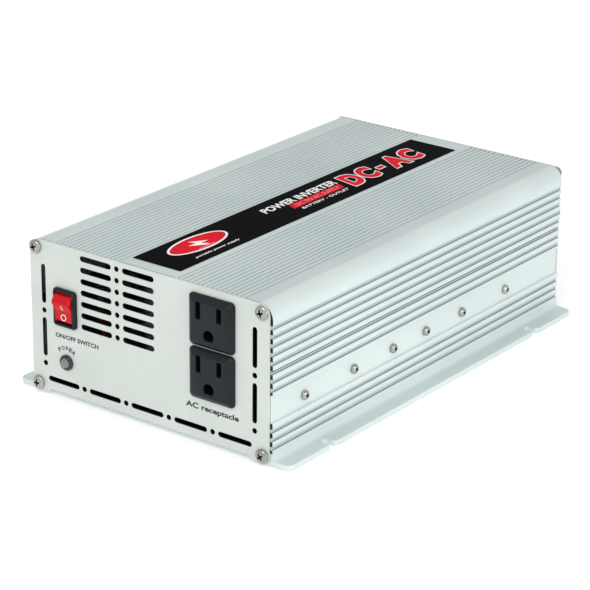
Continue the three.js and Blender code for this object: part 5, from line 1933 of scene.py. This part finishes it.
    def harness(self) -> None:
        """Runs the wires between the board, the terminals, the sockets, the switch and the fan."""
        shop = self.shop
        foot = shop.span("circuit_board")[1].z + 0.4
        plus, minus, earth, upper, lower, switch = (shop.middle(node) for node in (
            "positive_stud", "negative_stud", "earth_screw", "upper_socket", "lower_socket",
            "switch_housing"))
        inner, ground = (shop.span(node)[0].y for node in ("positive_stud", "earth_screw"))
        back, rear = (shop.span(node)[1].y for node in ("upper_socket", "switch_housing"))
        for name, look, slot, radius, points in (
                ("positive_lead", Look.RED_WIRE, "wire_red", 2.4, [
                    (plus.x, inner - 0.6, plus.z), (plus.x, inner - 9, 42), (24, inner - 14, 26),
                    (22, inner - 15, foot)]),
                ("negative_lead", Look.BLACK_WIRE, "wire_black", 2.4, [
                    (minus.x, inner - 0.6, minus.z), (minus.x, inner - 9, 42),
                    (62, inner - 14, 26), (61, inner - 15, foot)]),
                ("earth_lead", Look.GREEN_WIRE, "wire_green", 1.1, [
                    (earth.x, ground - 0.6, earth.z), (earth.x, 232, 24), (-2, 222, 18),
                    (-2, 220, foot)]),
                ("socket_live", Look.BLACK_WIRE, "wire_black", 1.2, [
                    (upper.x + 6, back + 0.4, upper.z), (46, back + 9, 58), (44, back + 12, 40),
                    (44, back + 12, foot)]),
                ("socket_neutral", Look.RED_WIRE, "wire_red", 1.2, [
                    (lower.x - 6, back + 0.4, lower.z), (33, back + 8, 32), (32, back + 9, 22),
                    (32, back + 9, foot)]),
                ("switch_lead", Look.RED_WIRE, "wire_red", 0.9, [
                    (switch.x, rear + 0.4, switch.z), (switch.x, rear + 7, 45),
                    (-50, rear + 10, 26), (-50, rear + 10, foot)]),
                ("fan_lead", Look.BLACK_WIRE, "wire_black", 0.8, [
                    (-8, 239, 66), (-5, 230, 60), (-5, 224, 30), (-5, 222, foot)])):
            mesh = shop.wire(self.curve(points), radius, look, sides=10)
            shop.piece(mesh, name, "case", slot, [look], sharp=60)

    def build(self) -> None:
        """Makes the small parts and dresses the tall ones."""
        shop = self.shop
        shop.dress(Look.MASK, "circuit_board")
        shop.dress(Look.FERRITE, "transformer_core_1", "transformer_core_2")
        shop.dress(Look.TAPE, "transformer_coil_1", "transformer_coil_2")
        shop.dress(Look.SLEEVE, "input_capacitor_1", "input_capacitor_2", "input_capacitor_3",
                   "bus_capacitor")
        shop.dress(Look.FUSE, "fuse_block")
        self.board_parts()
        self.transistors()
        self.choke()
        self.harness()


# ---------------- the studio


@dataclass
class Studio:
    """A pale floor, soft light and the camera."""

    azimuth: float = 37.003
    elevation: float = 21.557
    roll: float = 0.517
    focal: float = 2535.979
    picture: float = 590.0
    spot: tuple[float, float, float] = (0.739284, -0.861812, 0.517562)
    world: float = 0.8
    floor: str = "F6F7F7"

    def camera(self) -> None:
        """Sets the camera."""
        a, e, r = (math.radians(v) for v in (self.azimuth, self.elevation, self.roll))
        back = Vector((math.sin(a) * math.cos(e), -math.cos(a) * math.cos(e), math.sin(e)))
        across = Vector((0, 0, 1)).cross(back).normalized()
        up = back.cross(across)
        tilted = math.cos(r) * across + math.sin(r) * up
        upright = math.cos(r) * up - math.sin(r) * across
        place = Matrix((tilted, upright, back)).transposed().to_4x4()
        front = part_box("front_plate")[0].y
        place.translation = (self.spot[0], front + self.spot[1], self.spot[2])
        lens = bpy.data.cameras.new("camera")
        lens.sensor_width, lens.lens = 36.0, self.focal / self.picture * 36.0
        lens.clip_start = 0.05
        camera = stand("camera", lens)
        camera.matrix_world = place
        bpy.context.scene.camera = camera

    def light(self, name: str, place: Point, aim: Point, size: Point, power: float) -> None:
        """Adds one soft light.

        Args:
            name: Its name.
            place: Where it stands.
            aim: What it points at.
            size: Its width and height.
            power: Its power in watts.
        """
        data = bpy.data.lights.new(name, "AREA")
        data.shape, data.size, data.size_y, data.energy = "RECTANGLE", size[0], size[1], power
        lamp = stand(name, data)
        lamp.location = place
        lamp.rotation_euler = (Vector(place) - Vector(aim)).to_track_quat("Z", "Y").to_euler()

    def build(self) -> None:
        """Sets the floor, the light and the camera."""
        scene = bpy.context.scene
        scene.view_settings.view_transform = "Standard"
        self.camera()
        sky = bpy.data.worlds.new("studio")
        scene.world = sky
        sky.use_nodes = True
        sky.node_tree.nodes.clear()
        glow = add_node(sky.node_tree, "ShaderNodeBackground", {
            "Color": (1, 1, 1, 1), "Strength": self.world})
        add_node(sky.node_tree, "ShaderNodeOutputWorld", {}, {"Surface": glow.outputs[0]})
        self.light("key", (1.5, -0.15, 0.45), (0, 0, 0.04), (1.2, 0.5), 6)
        self.light("front", (0.25, -1.0, 0.95), (0, -0.05, 0.08), (0.8, 0.4), 4.4)
        ground = Form()
        ground.lofted([[(x, y, z) for x, y in rounded(0, 0, 24, 24, 2, 8)]
                       for z in (-0.0305, -0.0005)])
        mesh = ground.mesh("floor")
        mesh.materials.append(Finish("painted floor", self.floor, "F2F3F3", grain=(4.0, 4.0, 4.0),
                                     drift=300.0, rough=(0.8, 0.9), lift=0.0, glow=0.25).material())
        floor = stand("floor", mesh)


def main() -> None:
    """Builds the whole model on the frame."""
    logging.basicConfig(level=logging.INFO, format="%(message)s")
    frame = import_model()
    shop = Workshop(frame)
    for assembly in (CaseShells, EndPlates, Nameplate, Screws, Sockets, PowerSwitch, Terminals,
                     CoolingFan, Electronics):
        assembly(shop).build()
    Studio().build()


if __name__ == "__main__":
    main()
